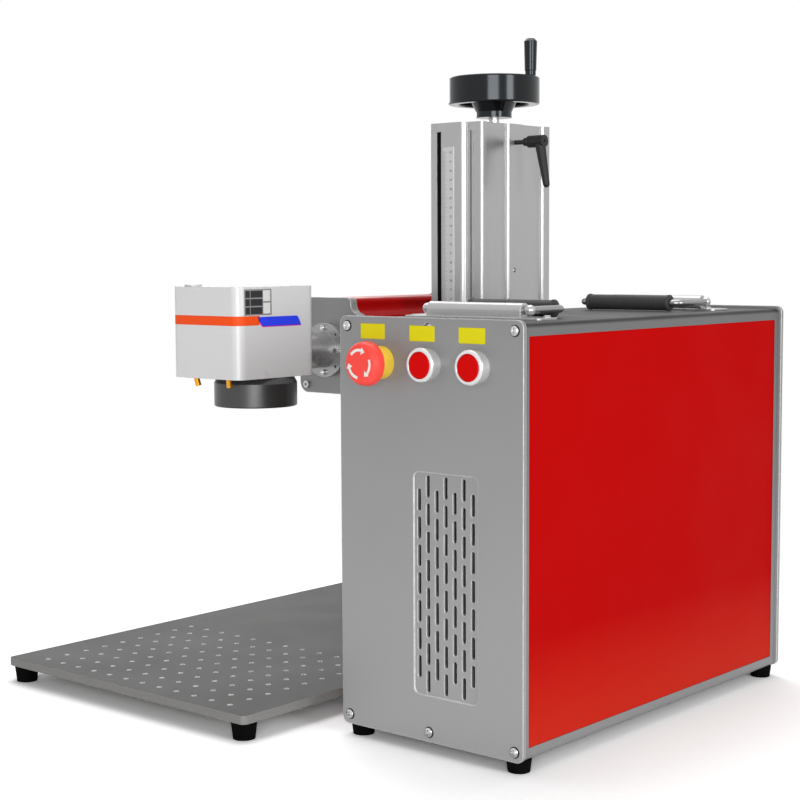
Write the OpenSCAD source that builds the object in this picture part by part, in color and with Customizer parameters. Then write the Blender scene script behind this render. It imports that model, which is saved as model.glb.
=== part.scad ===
// Desktop laser marking machine: cabinet, work table, lifting column, laser arm and scan head.
// Millimetres. X runs to the right, Y to the rear and Z up. The origin is on the floor, at the
// middle of the outline seen from above.

/* [Work table] */
// Width of the table plate
table_w = 355; // [320:5:400]
// Depth of the table plate
table_d = 540; // [520:5:600]
// Thickness of the table plate
table_t = 8; // [6:1:12]
// Corner radius of the table plate
table_r = 6; // [3:1:12]
// Height of the table's feet
table_foot_h = 17; // [14:1:30]
// Diameter of the table's feet at the top
table_foot_d = 25; // [20:1:30]
// Pitch of the hole grid
grid_pitch = 25; // [20:1:26]
// Diameter of the grid holes
grid_hole_d = 5; // [4:0.5:6]
// Holes in each row
grid_nx = 12; // [8:1:12]
// Rows of holes
grid_ny = 9; // [6:1:10]
// Front edge of the table to the first row of holes
grid_front = 21; // [18:1:30]
// Gap between the table and the cabinet
side_gap = 46; // [30:1:60]
// How far the table reaches in front of the cabinet
table_lead = 84; // [60:1:100]

/* [Cabinet] */
// Width of the front panel
cab_w = 208; // [200:1:240]
// Height of the front panel
cab_h = 378; // [360:1:420]
// Depth from the front panel's face to the rear panel's face
cab_d = 450; // [440:1:500]
// Height of the cabinet's rubber feet
cab_foot_h = 11; // [9:1:20]
// Diameter of the cabinet's feet
cab_foot_d = 22.6; // [18:0.2:24]
// Thickness of the front and rear panels
panel_t = 4; // [3:0.5:5]
// Corner radius of the front and rear panels
panel_r = 7; // [5:0.5:12]
// How far the panels stand out past the body at the sides and the top
panel_lip = 3; // [2:0.5:4]
// Height of the rails
rail_h = 11; // [10:0.5:14]
// Width of the rails
rail_w = 14; // [13:0.5:18]
// Radius of the rails' outer edge
rail_r = 5; // [3:0.5:6]
// Depth of the corner posts
post_d = 8; // [7:0.5:10]
// Thickness of the red side panels
side_t = 2.5; // [2:0.1:3]
// How far the side panels lie inside the rails' outer face
side_inset = 0.8; // [0.5:0.1:1.2]
// Thickness of the top cover and the bottom plate
cover_t = 3; // [2:0.5:4]
// Height of the equipment shelf above the body's underside
shelf_h = 140; // [130:1:160]

/* [Louvre] */
// Width of the recessed field
vent_w = 72; // [70:1:90]
// Height of the recessed field
vent_h = 200; // [198:1:230]
// Left edge of the front panel to the middle of the field
vent_x = 123; // [110:1:140]
// Lower edge of the front panel to the field
vent_z = 42; // [30:1:60]
// Length of a slot
slot_l = 20; // [16:0.5:22]
// Width of a slot
slot_w = 4; // [3:0.2:5]
// Rows of slots in the full columns
slot_rows = 8; // [5:1:8]
// Columns of slots
slot_cols = 7; // [5:1:7]

/* [Switches] */
// Upper edge of the front panel to the switches
switch_z = 41; // [38:1:60]
// Left edge of the front panel to the emergency stop
estop_x = 50; // [40:1:52]
// Pitch of the three switches
switch_pitch = 54; // [48:1:56]
// Diameter of the red mushroom head
estop_d = 40; // [36:1:42]
// Diameter of the yellow collar
collar_d = 30; // [28:1:32]
// How far the collar stands out
collar_l = 14; // [10:1:16]
// Travel of the emergency stop
estop_travel = 3.5; // [3:0.5:5]
// Diameter of the button bezels
bezel_d = 30.6; // [29:0.2:32]
// How far the bezels stand out
bezel_l = 12; // [9:1:14]
// Diameter of the button caps
cap_d = 24; // [20:0.2:25]
// Travel of the buttons
cap_travel = 3; // [2:0.5:4]

/* [Carrying handles] */
// Length of the base plate
handle_plate_l = 155; // [150:1:180]
// Length of the rolled barrel
handle_barrel_l = 107; // [90:1:107]
// Diameter of the bail's wire
bail_d = 7; // [7:0.5:8]
// Hinge axis to the middle of the grip
bail_reach = 53; // [48:1:60]
// Length of the rubber grip
handle_grip_l = 98; // [80:1:98]
// Front panel's face to the front handle's hinge axis
handle_front = 69.5; // [55:0.5:90]
// Rear panel's face to the rear handle's hinge axis
handle_rear = 77.5; // [60:0.5:100]

/* [Column] */
// Width of the column, seen from the front
col_w = 68; // [66:1:80]
// Depth of the column
col_d = 133; // [126:1:150]
// Length of the column's extrusion
col_l = 543; // [500:1:600]
// Thickness of the top plate
col_cap_t = 9.5; // [8:0.5:12]
// Thickness of the base flange
col_base_t = 10; // [8:1:14]
// Right edge of the table to the column
col_edge = 40; // [30:1:60]
// Rear edge of the table to the column
col_back = 9; // [8:1:30]
// Thickness of the left cover
col_cover_t = 10; // [8:1:11]
// Width of the slots beside the left cover
col_slot = 6; // [5.5:0.5:8]
// Diameter of the guide rods
guide_d = 12; // [10:1:14]
// Diameter of the lead screw
screw_d = 16; // [14:1:18]
// Diameter of the lead screw's journals
journal_d = 12; // [10:0.5:12.5]
// Width of the ruler
ruler_w = 15.6; // [12:0.2:16]
// Length of the ruler
ruler_l = 430; // [300:10:450]

/* [Carriage] */
// Height of the carriage
car_h = 90; // [80:1:100]
// Carriage's middle below the beam
car_drop = 6; // [0:1:10]
// Thickness of the cheeks that wrap round the cover
cheek_t = 10; // [8:1:12]
// Thickness of the outer carriage plate
car_plate_t = 12; // [10:1:14]
// Distance from the outer carriage plate to the arm
arm_stand_off = 20; // [16:1:30]

/* [Laser arm] */
// Height of the beam above the floor, in the position shown
beam_z = 339; // [300:1:380]
// Width of the arm
arm_w = 90; // [84:1:96]
// Height of the arm
arm_h = 107; // [100:1:112]
// Length of the arm with its end plates
arm_l = 220; // [200:1:240]
// Beam above the arm's underside
arm_below = 49; // [44:1:54]
// How far the arm reaches in front of the column
arm_lead = 79; // [60:1:100]
// Height of the step at the arm's upper corners
arm_step_h = 18; // [14:1:22]
// Width of the step at the arm's upper corners
arm_step_w = 12; // [11:1:14]
// Thickness of the arm's end plates
end_t = 10; // [8:1:12]
// Diameter of the beam tube
tube_d = 39; // [34:1:40]
// Free length of the beam tube
tube_free = 68.5; // [50:0.5:90]
// Diameter of the tube's flange
flange_d = 60; // [58:1:64]
// Thickness of the tube's flange
flange_t = 9; // [7:1:12]

/* [Scan head] */
// Width of the head
head_w = 101; // [97:1:106]
// Depth of the head
head_d = 113; // [109:1:120]
// Height of the head
head_h = 94; // [90:1:100]
// Radius of the head's upright edges
head_r = 11; // [6:0.5:13]
// Beam above the head's underside
head_below = 21; // [20.5:0.5:24]
// Head's middle to the left of the lens
head_shift = 10.5; // [8:0.5:12]
// Rear face of the head to the lens axis
lens_back = 50.5; // [46:0.5:54]
// Space between the two mirrors
mirror_gap = 14; // [13:0.5:16]
// Diameter of the lens barrel
lens_d = 87; // [80:0.5:90]
// Height of the lens barrel
lens_h = 31; // [26:0.5:40]
// Diameter of the lens barrel's neck
lens_neck_d = 80; // [72:0.5:79]

/* [Handwheel] */
// Diameter of the handwheel
wheel_d = 102; // [90:1:120]
// Height of the rim
rim_h = 30; // [22:1:34]
// Radial width of the rim
rim_w = 12; // [10:0.5:13]
// Gap between the top plate and the hub
wheel_lift = 8; // [6:0.5:12]
// Diameter of the hub's lower collar
hub_d = 40; // [32:1:42]
// Top of the column to the underside of the rim
rim_lift = 22.5; // [20:0.5:30]
// Diameter of the revolving grip
grip_d = 14.7; // [12:0.1:16]
// Length of the revolving grip
grip_l = 40; // [32:1:60]

/* [Clamp lever] */
// Top of the column to the lever's axis
lever_drop = 20.5; // [19:0.5:24]
// Length of the lever arm
lever_l = 47; // [36:1:56]
// Diameter of the lever's hub
lever_hub_d = 13.3; // [12:0.1:16]
// Length of the lever's hub
lever_hub_l = 27; // [24:1:36]
// Free length of the stud
lever_stud = 13; // [10:1:20]

/* [Fits] */
// Radial clearance of a shaft that turns or slides
run = 0.05; // [0.03:0.01:0.08]
// Clearance between pieces that only lie beside each other
gap = 0.3; // [0.25:0.05:0.5]

/* [Hidden] */

$fn = 64;
// Overrun of the cuts
cut = 1;

// Colours
panel_grey = [0.5, 0.5, 0.51];
rail_grey = [0.6, 0.6, 0.62];
bright = [0.8, 0.8, 0.82];
red = [0.78, 0.04, 0.05];
black = [0.08, 0.08, 0.09];
rubber_black = [0.05, 0.05, 0.05];
steel = [0.68, 0.69, 0.71];
brass = [0.78, 0.58, 0.25];
yellow = [0.95, 0.8, 0.05];
card_green = [0.05, 0.35, 0.15];

// Small sizes of the table
foot_taper = 4;
foot_in = 13.5;
foot_stud_d = 5;
foot_stud_h = 5;
tie_w = 36;
tie_t = 4;
tie_grip = 58;
tie_front = 100;
tie_rear = 380;
tie_bend = 12;

// Small sizes of the cabinet
side_clear = 0.3;
groove_d = 4;
ledge_w = 4;
channel_d = 3;
panel_screw_in = 9;
panel_screw_d = 4;
panel_screw_head_d = 8.6;
panel_screw_head_h = 2.6;
cross_l = 5;
cross_w = 1.2;
cross_h = 1.5;
cab_foot_in_x = 14;
cab_foot_in_y = 13;
cab_foot_taper = 3;
shelf_t = 1.5;
shelf_flange = 18;
shelf_front = 95;
shelf_rear = 60;
laser_w = 150;
laser_l = 250;
laser_h = 84;
laser_front = 95;
fin_t = 3;
fin_h = 16;
fin_count = 12;
supply_w = 88;
supply_l = 180;
supply_h = 48;
card_w = 70;
card_l = 150;
card_t = 1.6;
standoff_h = 8;
standoff_d = 6;
standoff_in = 8;
chip_w = 22;
chip_h = 6;

// Small sizes of the louvre
vent_r = 6;
vent_recess = 1.2;
vent_edge_x = 5.7;
vent_edge_z = 2.5;

// Small sizes of the switches
barrel_d = 22;
barrel_l = 26;
nut_d = 30;
nut_t = 5;
contact_w = 30;
contact_h = 36;
contact_l = 34;
stem_d = 12;
stem_spigot_d = 8;
stem_in = 16;
dome_h = 12;
dome_r = 6.5;
collar_bevel = 3;
knurls = 48;
knurl_d = 1;
knurl_h = 3;
bezel_ring = 5;
bezel_step = 0.8;
bezel_lip = 1.2;
cap_skirt = 7;
cap_stem_d = 8;
cap_stem_l = 12;
cap_proud = 0.6;

// Small sizes of the handles
plate_fold = 2;
handle_plate_w = 30;
handle_plate_r = 4;
barrel_wall = 3;
bail_turn_r = 4.5;
bail_corner_r = 9;
bail_side_x = 58.5;
handle_grip_d = 16.4;
grip_groove = 0.8;
grip_groove_w = 2.5;
handle_screw_d = 7;
handle_screw_h = 2;
handle_screw_in = 9;
handle_screw_top_d = 5;
hinge_behind = 11.5;

// Small sizes of the rear
fan_w = 92;
fan_t = 25;
fan_bore = 88;
fan_hub = 36;
fan_pin_d = 3;
fan_pitch = 82.5;
fan_screw_d = 4;
fan_strut = 5;
fan_strut_t = 3;
fan_blades = 7;
fan_blade_t = 1.6;
fan_blade_pitch = 40;
fan_blade_gap = 1.5;
fan_floor = 3;
fan_from_top = 80;
guard_wire = 2;
guard_rings = 4;
guard_step = 11;
guard_first = 8;
inlet_w = 47;
inlet_h = 27;
inlet_t = 3;
inlet_body_w = 40;
inlet_body_h = 24;
inlet_body_l = 26;
inlet_hole_w = 22;
inlet_hole_h = 16;
inlet_hole_l = 14;
inlet_pin = 2;
inlet_pin_l = 9;
inlet_from_bottom = 50;
inlet_from_left = 60;
rocker_w = 8;
rocker_h = 17;
rocker_l = 8;
rocker_pin_d = 3;
rocker_tilt = 10;
gland_hex = 22;
gland_hex_l = 6;
gland_nut_d = 20;
gland_l = 20;
gland_bore = 8;
gland_thread_d = 15;
gland_from_right = 45;
gland_from_top = 190;

// Small sizes of the column
col_corner_r = 3;
col_step = 6.5;
col_front_w = 48;
col_ridge = 8;
col_flat = 4;
col_pilaster = 26;
col_rear_ridge = 15;
col_edge_r = 3.5;
col_groove_x = 51.5;
col_groove_w = 2;
col_groove_d = 3;
col_line_x = 56;
col_line_w = 1;
col_hole_d = 5;
col_hole_y = 65;
col_hole_z = 391;
col_hole_depth = 4;
col_wall_front = 11;
col_wall_right = 9;
guide_in = 31;
guide_x = 38;
ruler_t = 0.6;
ruler_x = 18.7;
ruler_drop = 17;
base_margin = 8;
base_screw_d = 8;
base_screw_h = 6;
base_screw_in = 6;
bearing_d = 30;
bearing_h = 12;
cap_bearing_d = 26;
cap_bearing_h = 3;
collar_brake_d = 24;
collar_brake_h = 10;
thread_top_drop = 14;
thread_bottom = 16;

// Small sizes of the carriage
block_w = 38;
block_in = 5;
nut_flange_d = 30;
nut_flange_h = 6;
nut_body_d = 24;
nut_body_l = 24;
cheek_gap = 4;
slider_t = 4.6;
plate_gap = 4;
spacer_in = 24;
spacer_h = 70;

// Small sizes of the arm
arm_corner_r = 12;
arm_top_r = 6;
arm_shoulder_r = 3;
arm_fillet_r = 11;
arm_wall = 3;
plate_over = 1;
end_screw_d = 8;
end_screw_h = 3;
end_screw_in = 11;
end_screw_up = 9;
end_screw_top_x = 25;
hex_socket = 4;
hex_socket_d = 1.8;
tube_bore = 24;
tube_seat = 6;
flange_pcd = 49.5;
flange_screw_d = 6;
flange_screw_h = 3;
flange_hole_d = 3.4;
collimator_d = 34;
collimator_l = 130;
collimator_foot = 12;
collimator_foot_w = 40;

// Small sizes of the head
head_wall = 3;
base_plate_t = 10;
plug_d = 18;
plug_h = 2;
plug_x = 20;
plug_y = 14;
chamber_x0 = 12;
chamber_x1 = 14;
chamber_y = 13;
block_wall = 10;
chamber_top = 12;
motor_block_h = 12;
motor_d = 21;
motor_l = 38;
motor_cap_d = 18;
motor_cap_l = 4;
mirror_shaft_d = 3;
mirror_shaft_in = 8;
mirror_w = 11;
mirror_l = 16;
mirror_t = 1.6;
mirror_hub = 6;
lens_bevel_h = 6.5;
lens_seat_h = 7;
lens_seat_d = 72;
lens_bore_d = 70;
lens_ring_d = 62;
lens_ring_h = 4;
glass_t = 8;
glass_rim = 1.5;
lens_edge = 1;
pointer_d = 6;
pointer_l = 23;
pointer_out = 9;
pointer_front = 11;
pointer_x0 = 26;
pointer_x1 = 75;
pointer_tilt = 14;
pointer_turn = 30;
pointer_clear = 0.4;

// Small sizes of the handwheel and the lever
rim_r = 2;
hub_collar_h = 6.5;
hub_top_d = 52;
hub_cone_h = 12;
hub_bore_depth = 26;
spoke_w = 15;
spoke_t = 9;
spokes = 3;
grip_turn = 11;
spindle_d = 6;
grip_neck_d = 12;
grip_neck_h = 5;
grip_taper = 1.6;
grip_dome = 3;
lever_tip_d = 7.6;
lever_root_d = 12;
lever_out = 9;
lever_socket_d = 3.4;
lever_bore_l = 14;
lever_neck_d = 9;
lever_neck_l = 6;
clamp_d = 5;

// Frame of the layout
overall_w = table_w + side_gap + cab_w;
table_x0 = -overall_w / 2;
table_x1 = table_x0 + table_w;
table_cx = (table_x0 + table_x1) / 2;
cab_x0 = table_x1 + side_gap;
cab_x1 = cab_x0 + cab_w;
gland_out = gland_hex_l + gland_l;
col_front_from_table = table_d - col_back - col_d;
arm_front_from_table = col_front_from_table - arm_lead;
overall_d = max(table_d, table_lead + cab_d + gland_out, arm_front_from_table + arm_l + gland_out);
table_y0 = -overall_d / 2;
table_y1 = table_y0 + table_d;
table_z0 = table_foot_h;
table_z1 = table_foot_h + table_t;

// Cabinet
cab_y0 = table_y0 + table_lead;
cab_y1 = cab_y0 + cab_d;
cab_z0 = cab_foot_h;
cab_z1 = cab_z0 + cab_h;
body_x0 = cab_x0 + panel_lip;
body_x1 = cab_x1 - panel_lip;
body_y0 = cab_y0 + panel_t;
body_y1 = cab_y1 - panel_t;
body_l = body_y1 - body_y0;
body_z1 = cab_z1 - panel_lip;
cab_cx = (cab_x0 + cab_x1) / 2;
inner_x0 = body_x0 + side_inset + side_t;
inner_x1 = body_x1 - side_inset - side_t;
switch_zc = cab_z1 - switch_z;
vent_x0 = cab_x0 + vent_x - vent_w / 2;
vent_z0 = cab_z0 + vent_z;
slot_pitch_x = (vent_w - 2 * vent_edge_x) / (slot_cols - 1);
slot_pitch_z = (vent_h - 2 * vent_edge_z - slot_l) / (slot_rows - 1);
shelf_z = cab_z0 + shelf_h;

// Handles
hinge_z = body_z1 + plate_fold + bail_d / 2 + barrel_wall;
front_hinge_y = cab_y0 + handle_front;
rear_hinge_y = cab_y1 - handle_rear;

// Rear of the cabinet
fan_cx = cab_cx;
fan_cz = cab_z1 - fan_from_top;
inlet_cx = cab_x0 + inlet_from_left;
inlet_cz = cab_z0 + inlet_from_bottom;
gland_x = cab_x1 - gland_from_right;
gland_z = cab_z1 - gland_from_top;

// Column
col_x1 = table_x1 - col_edge;
col_x0 = col_x1 - col_w;
col_y1 = table_y1 - col_back;
col_y0 = col_y1 - col_d;
col_cy = (col_y0 + col_y1) / 2;
col_z0 = table_z1 + col_base_t;
col_z1 = col_z0 + col_l;
col_top = col_z1 + col_cap_t;
col_body_x = col_cover_t + col_slot;
screw_x = col_x0 + guide_x;
lever_z = col_top - lever_drop;

// Beam, arm and head
plate_x1 = col_x0 - plate_gap;
plate_x0 = plate_x1 - car_plate_t;
arm_right = plate_x0 - arm_stand_off;
beam_x = arm_right - arm_w / 2;
lens_x = beam_x + mirror_gap;
arm_z0 = beam_z - arm_below;
arm_y0 = col_y0 - arm_lead;
arm_y1 = arm_y0 + arm_l;
flange_y0 = arm_y0 - flange_t;
head_y1 = flange_y0 - tube_free;
head_y0 = head_y1 - head_d;
head_z0 = beam_z - head_below;
head_z1 = head_z0 + head_h;
head_cx = lens_x - head_shift;
head_x0 = head_cx - head_w / 2;
lens_y = head_y1 - lens_back;
lens_z0 = head_z0 - lens_h;
car_zc = beam_z - car_drop;
car_z0 = car_zc - car_h / 2;
block_x0 = col_cover_t + (col_slot + slider_t) / 2;
block_l = col_d - 2 * col_wall_front - 2 * block_in;
cheek_y0 = col_y0 - cheek_gap - cheek_t;
cheek_y1 = col_y1 + cheek_gap + cheek_t;

// Handwheel
wheel_z0 = col_top + wheel_lift;
rim_z0 = col_top + rim_lift;
rim_z1 = rim_z0 + rim_h;
spoke_z0 = wheel_z0 + hub_collar_h + hub_cone_h;

// A rectangle with round corners, its lower left corner at the origin
module rounded(w, d, r) {
    translate([r, 0]) square([w - 2 * r, d]);
    translate([0, r]) square([w, d - 2 * r]);
    for (x = [r, w - r], y = [r, d - r]) translate([x, y]) circle(r);
}

// What rounds off a corner at the origin whose solid lies towards -x and -y
module corner_cut(r) {
    difference() {
        translate([-r, -r]) square([r + cut, r + cut]);
        translate([-r, -r]) circle(r);
    }
}

// An outline drawn in X and Z, extruded along Y from y0
module along_y(y0, length) {
    translate([0, y0 + length, 0]) rotate([90, 0, 0]) linear_extrude(length) children();
}

// A cylinder along Y that starts at y
module rod_y(x, y, z, length, d) {
    translate([x, y, z]) rotate([-90, 0, 0]) cylinder(h = length, d = d);
}

// A cylinder along X that starts at x
module rod_x(x, y, z, length, d) {
    translate([x, y, z]) rotate([0, 90, 0]) cylinder(h = length, d = d);
}

// Head of a socket screw on its seat at z = 0
module socket_screw(d, h) {
    difference() {
        cylinder(h = h, d = d);
        translate([0, 0, h - hex_socket_d]) cylinder(h = hex_socket_d + cut, d = hex_socket, $fn = 6);
    }
}

// Cross-head screw with its seat at z = 0
module cross_screw() {
    difference() {
        union() {
            cylinder(h = panel_screw_head_h / 2, d = panel_screw_head_d);
            translate([0, 0, panel_screw_head_h / 2])
                cylinder(h = panel_screw_head_h / 2, d1 = panel_screw_head_d, d2 = panel_screw_head_d / 2);
            translate([0, 0, -panel_t]) cylinder(h = panel_t + cut, d = panel_screw_d);
        }
        for (a = [0, 90]) rotate(a) translate([0, 0, panel_screw_head_h - cross_h / 2])
            cube([cross_l, cross_w, cross_h + cut], center = true);
    }
}

// Places of the six screws of a panel; the last one is at the middle of the top
function panel_screw_places() = [
    for (x = [cab_x0 + panel_screw_in, cab_x1 - panel_screw_in, cab_cx])
        for (z = [cab_z0 + panel_screw_in, cab_z1 - panel_screw_in]) [x, z]
];

// Depth that each of those screws lies sunk in the front panel: the last one is under a sticker
function panel_screw_sink(i) = i < len(panel_screw_places()) - 1 ? 0 : panel_screw_head_h + run;

// One column of slots, its middle at the origin
module slot_column(count) {
    for (i = [0 : count - 1]) translate([0, (i - (count - 1) / 2) * slot_pitch_z]) {
        square([slot_w, slot_l - slot_w], center = true);
        for (s = [-1, 1]) translate([0, s * (slot_l - slot_w) / 2]) circle(d = slot_w);
    }
}

module vent_slots() {
    for (c = [0 : slot_cols - 1])
        translate([vent_x0 + vent_w / 2 + (c - (slot_cols - 1) / 2) * slot_pitch_x, vent_z0 + vent_h / 2])
            slot_column(c % 2 == 0 ? slot_rows - 1 : slot_rows);
}

module front_panel() {
    color(panel_grey) difference() {
        along_y(cab_y0, panel_t) translate([cab_x0, cab_z0]) rounded(cab_w, cab_h, panel_r);
        along_y(cab_y0 - cut, vent_recess + cut)
            translate([vent_x0, vent_z0]) rounded(vent_w, vent_h, vent_r);
        along_y(cab_y0 - cut, panel_t + 2 * cut) vent_slots();
        for (i = [0 : len(panel_screw_places()) - 1]) {
            p = panel_screw_places()[i];
            rod_y(p[0], cab_y0 - cut, p[1], panel_t + 2 * cut, panel_screw_d + 2 * gap);
            if (panel_screw_sink(i) > 0)
                rod_y(p[0], cab_y0 - cut, p[1], panel_screw_sink(i) + cut, panel_screw_head_d + 2 * gap);
        }
        for (i = [0 : 2])
            rod_y(cab_x0 + estop_x + i * switch_pitch, cab_y0 - cut, switch_zc, panel_t + 2 * cut,
                barrel_d + 2 * gap);
    }
}

module rear_panel() {
    color(panel_grey) difference() {
        along_y(cab_y1 - panel_t, panel_t) translate([cab_x0, cab_z0]) rounded(cab_w, cab_h, panel_r);
        for (p = panel_screw_places())
            rod_y(p[0], cab_y1 - panel_t - cut, p[1], panel_t + 2 * cut, panel_screw_d + 2 * gap);
        rod_y(fan_cx, cab_y1 - panel_t - cut, fan_cz, panel_t + 2 * cut, fan_bore);
        along_y(cab_y1 - panel_t - cut, panel_t + 2 * cut)
            translate([inlet_cx - inlet_body_w / 2 - gap, inlet_cz - inlet_body_h / 2 - gap])
                square([inlet_body_w + 2 * gap, inlet_body_h + 2 * gap]);
        rod_y(gland_x, cab_y1 - panel_t - cut, gland_z, panel_t + 2 * cut, gland_thread_d + 2 * gap);
    }
}

// Section of a rail: x points inwards from the outer side, y points up to the outer top
module rail_section(lip) {
    difference() {
        union() {
            translate([rail_r, -rail_h]) square([rail_w - rail_r, rail_h]);
            translate([0, -rail_h]) square([rail_r + cut, rail_h - rail_r]);
            translate([rail_r, -rail_r]) circle(rail_r);
        }
        translate([side_inset - side_clear, -rail_h - cut])
            square([side_t + 2 * side_clear, groove_d + cut]);
        translate([rail_w - ledge_w, -cover_t]) square([ledge_w + cut, cover_t + cut]);
        translate([panel_screw_in - panel_lip, lip - panel_screw_in]) circle(d = channel_d);
    }
}

module rails() {
    color(rail_grey) for (side = [0, 1], top = [0, 1])
        translate([side == 0 ? body_x0 : body_x1, 0, top == 1 ? body_z1 : cab_z0])
            mirror([side, 0, 0]) mirror([0, 0, 1 - top])
                along_y(body_y0, body_l) rail_section(top * panel_lip);
}

// Posts between the rails, with a groove for the side panel
module corner_posts() {
    h = body_z1 - cab_z0 - 2 * rail_h;
    color(rail_grey) for (side = [0, 1], end = [0, 1])
        translate([side == 0 ? body_x0 : body_x1, end == 0 ? body_y0 : body_y1, cab_z0 + rail_h])
            mirror([side, 0, 0]) mirror([0, end, 0]) linear_extrude(h) difference() {
                square([rail_w, post_d]);
                translate([side_inset - side_clear, post_d - groove_d])
                    square([side_t + 2 * side_clear, groove_d + cut]);
            }
}

module side_panels() {
    reach = groove_d - side_clear;
    y0 = body_y0 + post_d - reach;
    z0 = cab_z0 + rail_h - reach;
    color(red) for (x = [body_x0 + side_inset, body_x1 - side_inset - side_t])
        translate([x, y0, z0]) cube([side_t, body_y1 - post_d + reach - y0, body_z1 - rail_h + reach - z0]);
}

module top_cover() {
    x0 = body_x0 + rail_w - ledge_w + side_clear;
    color(panel_grey) translate([x0, body_y0, body_z1 - cover_t])
        cube([body_x1 - body_x0 - 2 * (x0 - body_x0), body_l, cover_t]);
}

module bottom_plate() {
    x0 = body_x0 + rail_w - ledge_w + side_clear;
    color(panel_grey) translate([x0, body_y0, cab_z0])
        cube([body_x1 - body_x0 - 2 * (x0 - body_x0), body_l, cover_t]);
}

module panel_screws() {
    places = panel_screw_places();
    color(bright) for (i = [0 : len(places) - 1]) translate([places[i][0], 0, places[i][1]]) {
        translate([0, cab_y0 + panel_screw_sink(i), 0]) rotate([90, 0, 0]) cross_screw();
        translate([0, cab_y1, 0]) rotate([-90, 0, 0]) cross_screw();
    }
}

module cabinet_feet() {
    color(rubber_black) for (x = [cab_x0 + cab_foot_in_x, cab_x1 - cab_foot_in_x],
            y = [cab_y0 + cab_foot_in_y, cab_y1 - cab_foot_in_y])
        translate([x, y, 0]) difference() {
            cylinder(h = cab_foot_h, d1 = cab_foot_d - cab_foot_taper, d2 = cab_foot_d);
            translate([0, 0, -cut]) cylinder(h = cab_foot_h / 3 + cut, d = cab_foot_d / 3);
        }
}

// What each switch has behind the panel: threaded barrel, lock nut and contact block
module switch_back(y) {
    rod_y(0, y, 0, barrel_l, barrel_d);
    translate([0, y + panel_t, 0]) rotate([-90, 0, 0]) cylinder(h = nut_t, d = nut_d, $fn = 6);
    translate([-contact_w / 2, y + barrel_l - cut, -contact_h / 2]) cube([contact_w, contact_l, contact_h]);
}

module estop_collar() {
    color(yellow) translate([cab_x0 + estop_x, cab_y0, switch_zc]) difference() {
        union() {
            translate([0, -collar_l, 0]) rotate([-90, 0, 0])
                cylinder(h = collar_bevel, d1 = collar_d - 2 * bezel_lip, d2 = collar_d);
            rod_y(0, collar_bevel - collar_l, 0, collar_l - collar_bevel, collar_d);
            switch_back(0);
        }
        rod_y(0, -collar_l - cut, 0, collar_l + stem_in + cut, stem_d + 2 * run);
    }
}

// The stem slides in the collar and carries the head on a spigot
module estop_stem() {
    head_y = collar_l + estop_travel + gap;
    color(black) translate([cab_x0 + estop_x, cab_y0, switch_zc]) {
        rod_y(0, gap - head_y, 0, head_y + stem_in - estop_travel - 2 * gap, stem_d);
        rod_y(0, -head_y - dome_h / 2, 0, dome_h / 2 + cut, stem_spigot_d);
    }
}

module estop_head() {
    back = collar_l + estop_travel + gap;
    r = (estop_d - knurl_d) / 2;
    color(red) translate([cab_x0 + estop_x, cab_y0 - back, switch_zc]) rotate([90, 0, 0]) difference() {
        union() {
            rotate_extrude() difference() {
                square([r, dome_h]);
                translate([r, dome_h]) corner_cut(dome_r);
            }
            for (i = [0 : knurls - 1]) rotate(i * 360 / knurls)
                translate([r, 0, 0]) cylinder(h = knurl_h, d = knurl_d, $fn = 16);
        }
        translate([0, 0, -cut]) cylinder(h = dome_h / 2 + cut + gap, d = stem_spigot_d + 2 * run);
    }
}

module button_bezels() {
    color(bright) for (i = [1, 2]) translate([cab_x0 + estop_x + i * switch_pitch, cab_y0, switch_zc])
        difference() {
            union() {
                translate([0, -bezel_l, 0]) rotate([-90, 0, 0])
                    cylinder(h = bezel_lip, d1 = bezel_d - 2 * bezel_lip, d2 = bezel_d);
                rod_y(0, bezel_lip - bezel_l, 0, bezel_ring, bezel_d);
                rod_y(0, bezel_ring - bezel_l, 0, bezel_l - bezel_ring, bezel_d - 2 * bezel_step);
                switch_back(0);
            }
            rod_y(0, -bezel_l - cut, 0, cap_skirt + cap_travel + gap + cut, cap_d + 2 * run);
            rod_y(0, -bezel_l, 0, cap_skirt + cap_stem_l + cap_travel + gap, cap_stem_d + 2 * gap);
        }
}

module button_cap(i) {
    color(red) translate([cab_x0 + estop_x + i * switch_pitch, cab_y0 - bezel_l, switch_zc]) {
        translate([0, -cap_proud, 0]) rotate([-90, 0, 0])
            cylinder(h = bezel_lip, d1 = cap_d - 2 * bezel_lip, d2 = cap_d);
        rod_y(0, bezel_lip - cap_proud, 0, cap_skirt - bezel_lip, cap_d);
        rod_y(0, cap_skirt - cap_proud - cut, 0, cap_stem_l + cut, cap_stem_d);
    }
}

module button_cap_middle() {
    button_cap(1);
}

module button_cap_right() {
    button_cap(2);
}

// Base plate with its rolled barrel; the hinge axis runs along X through the origin
module handle_plate() {
    drop = bail_d / 2 + barrel_wall;
    difference() {
        union() {
            translate([-handle_plate_l / 2, -hinge_behind, -drop - plate_fold]) linear_extrude(plate_fold)
                rounded(handle_plate_l, handle_plate_w, handle_plate_r);
            rod_x(-handle_barrel_l / 2, 0, 0, handle_barrel_l, 2 * drop);
            translate([-handle_barrel_l / 2, -drop, -drop - plate_fold / 2])
                cube([handle_barrel_l, drop, drop + plate_fold / 2]);
            for (s = [-1, 1]) translate([s * (handle_plate_l / 2 - handle_screw_in),
                    handle_plate_w - hinge_behind - handle_screw_d / 2 - handle_screw_h, -drop])
                cylinder(h = handle_screw_h, d1 = handle_screw_d, d2 = handle_screw_top_d);
        }
        rod_x(-handle_barrel_l / 2 - cut, 0, 0, handle_barrel_l + 2 * cut, bail_d + 2 * run);
    }
}

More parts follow.
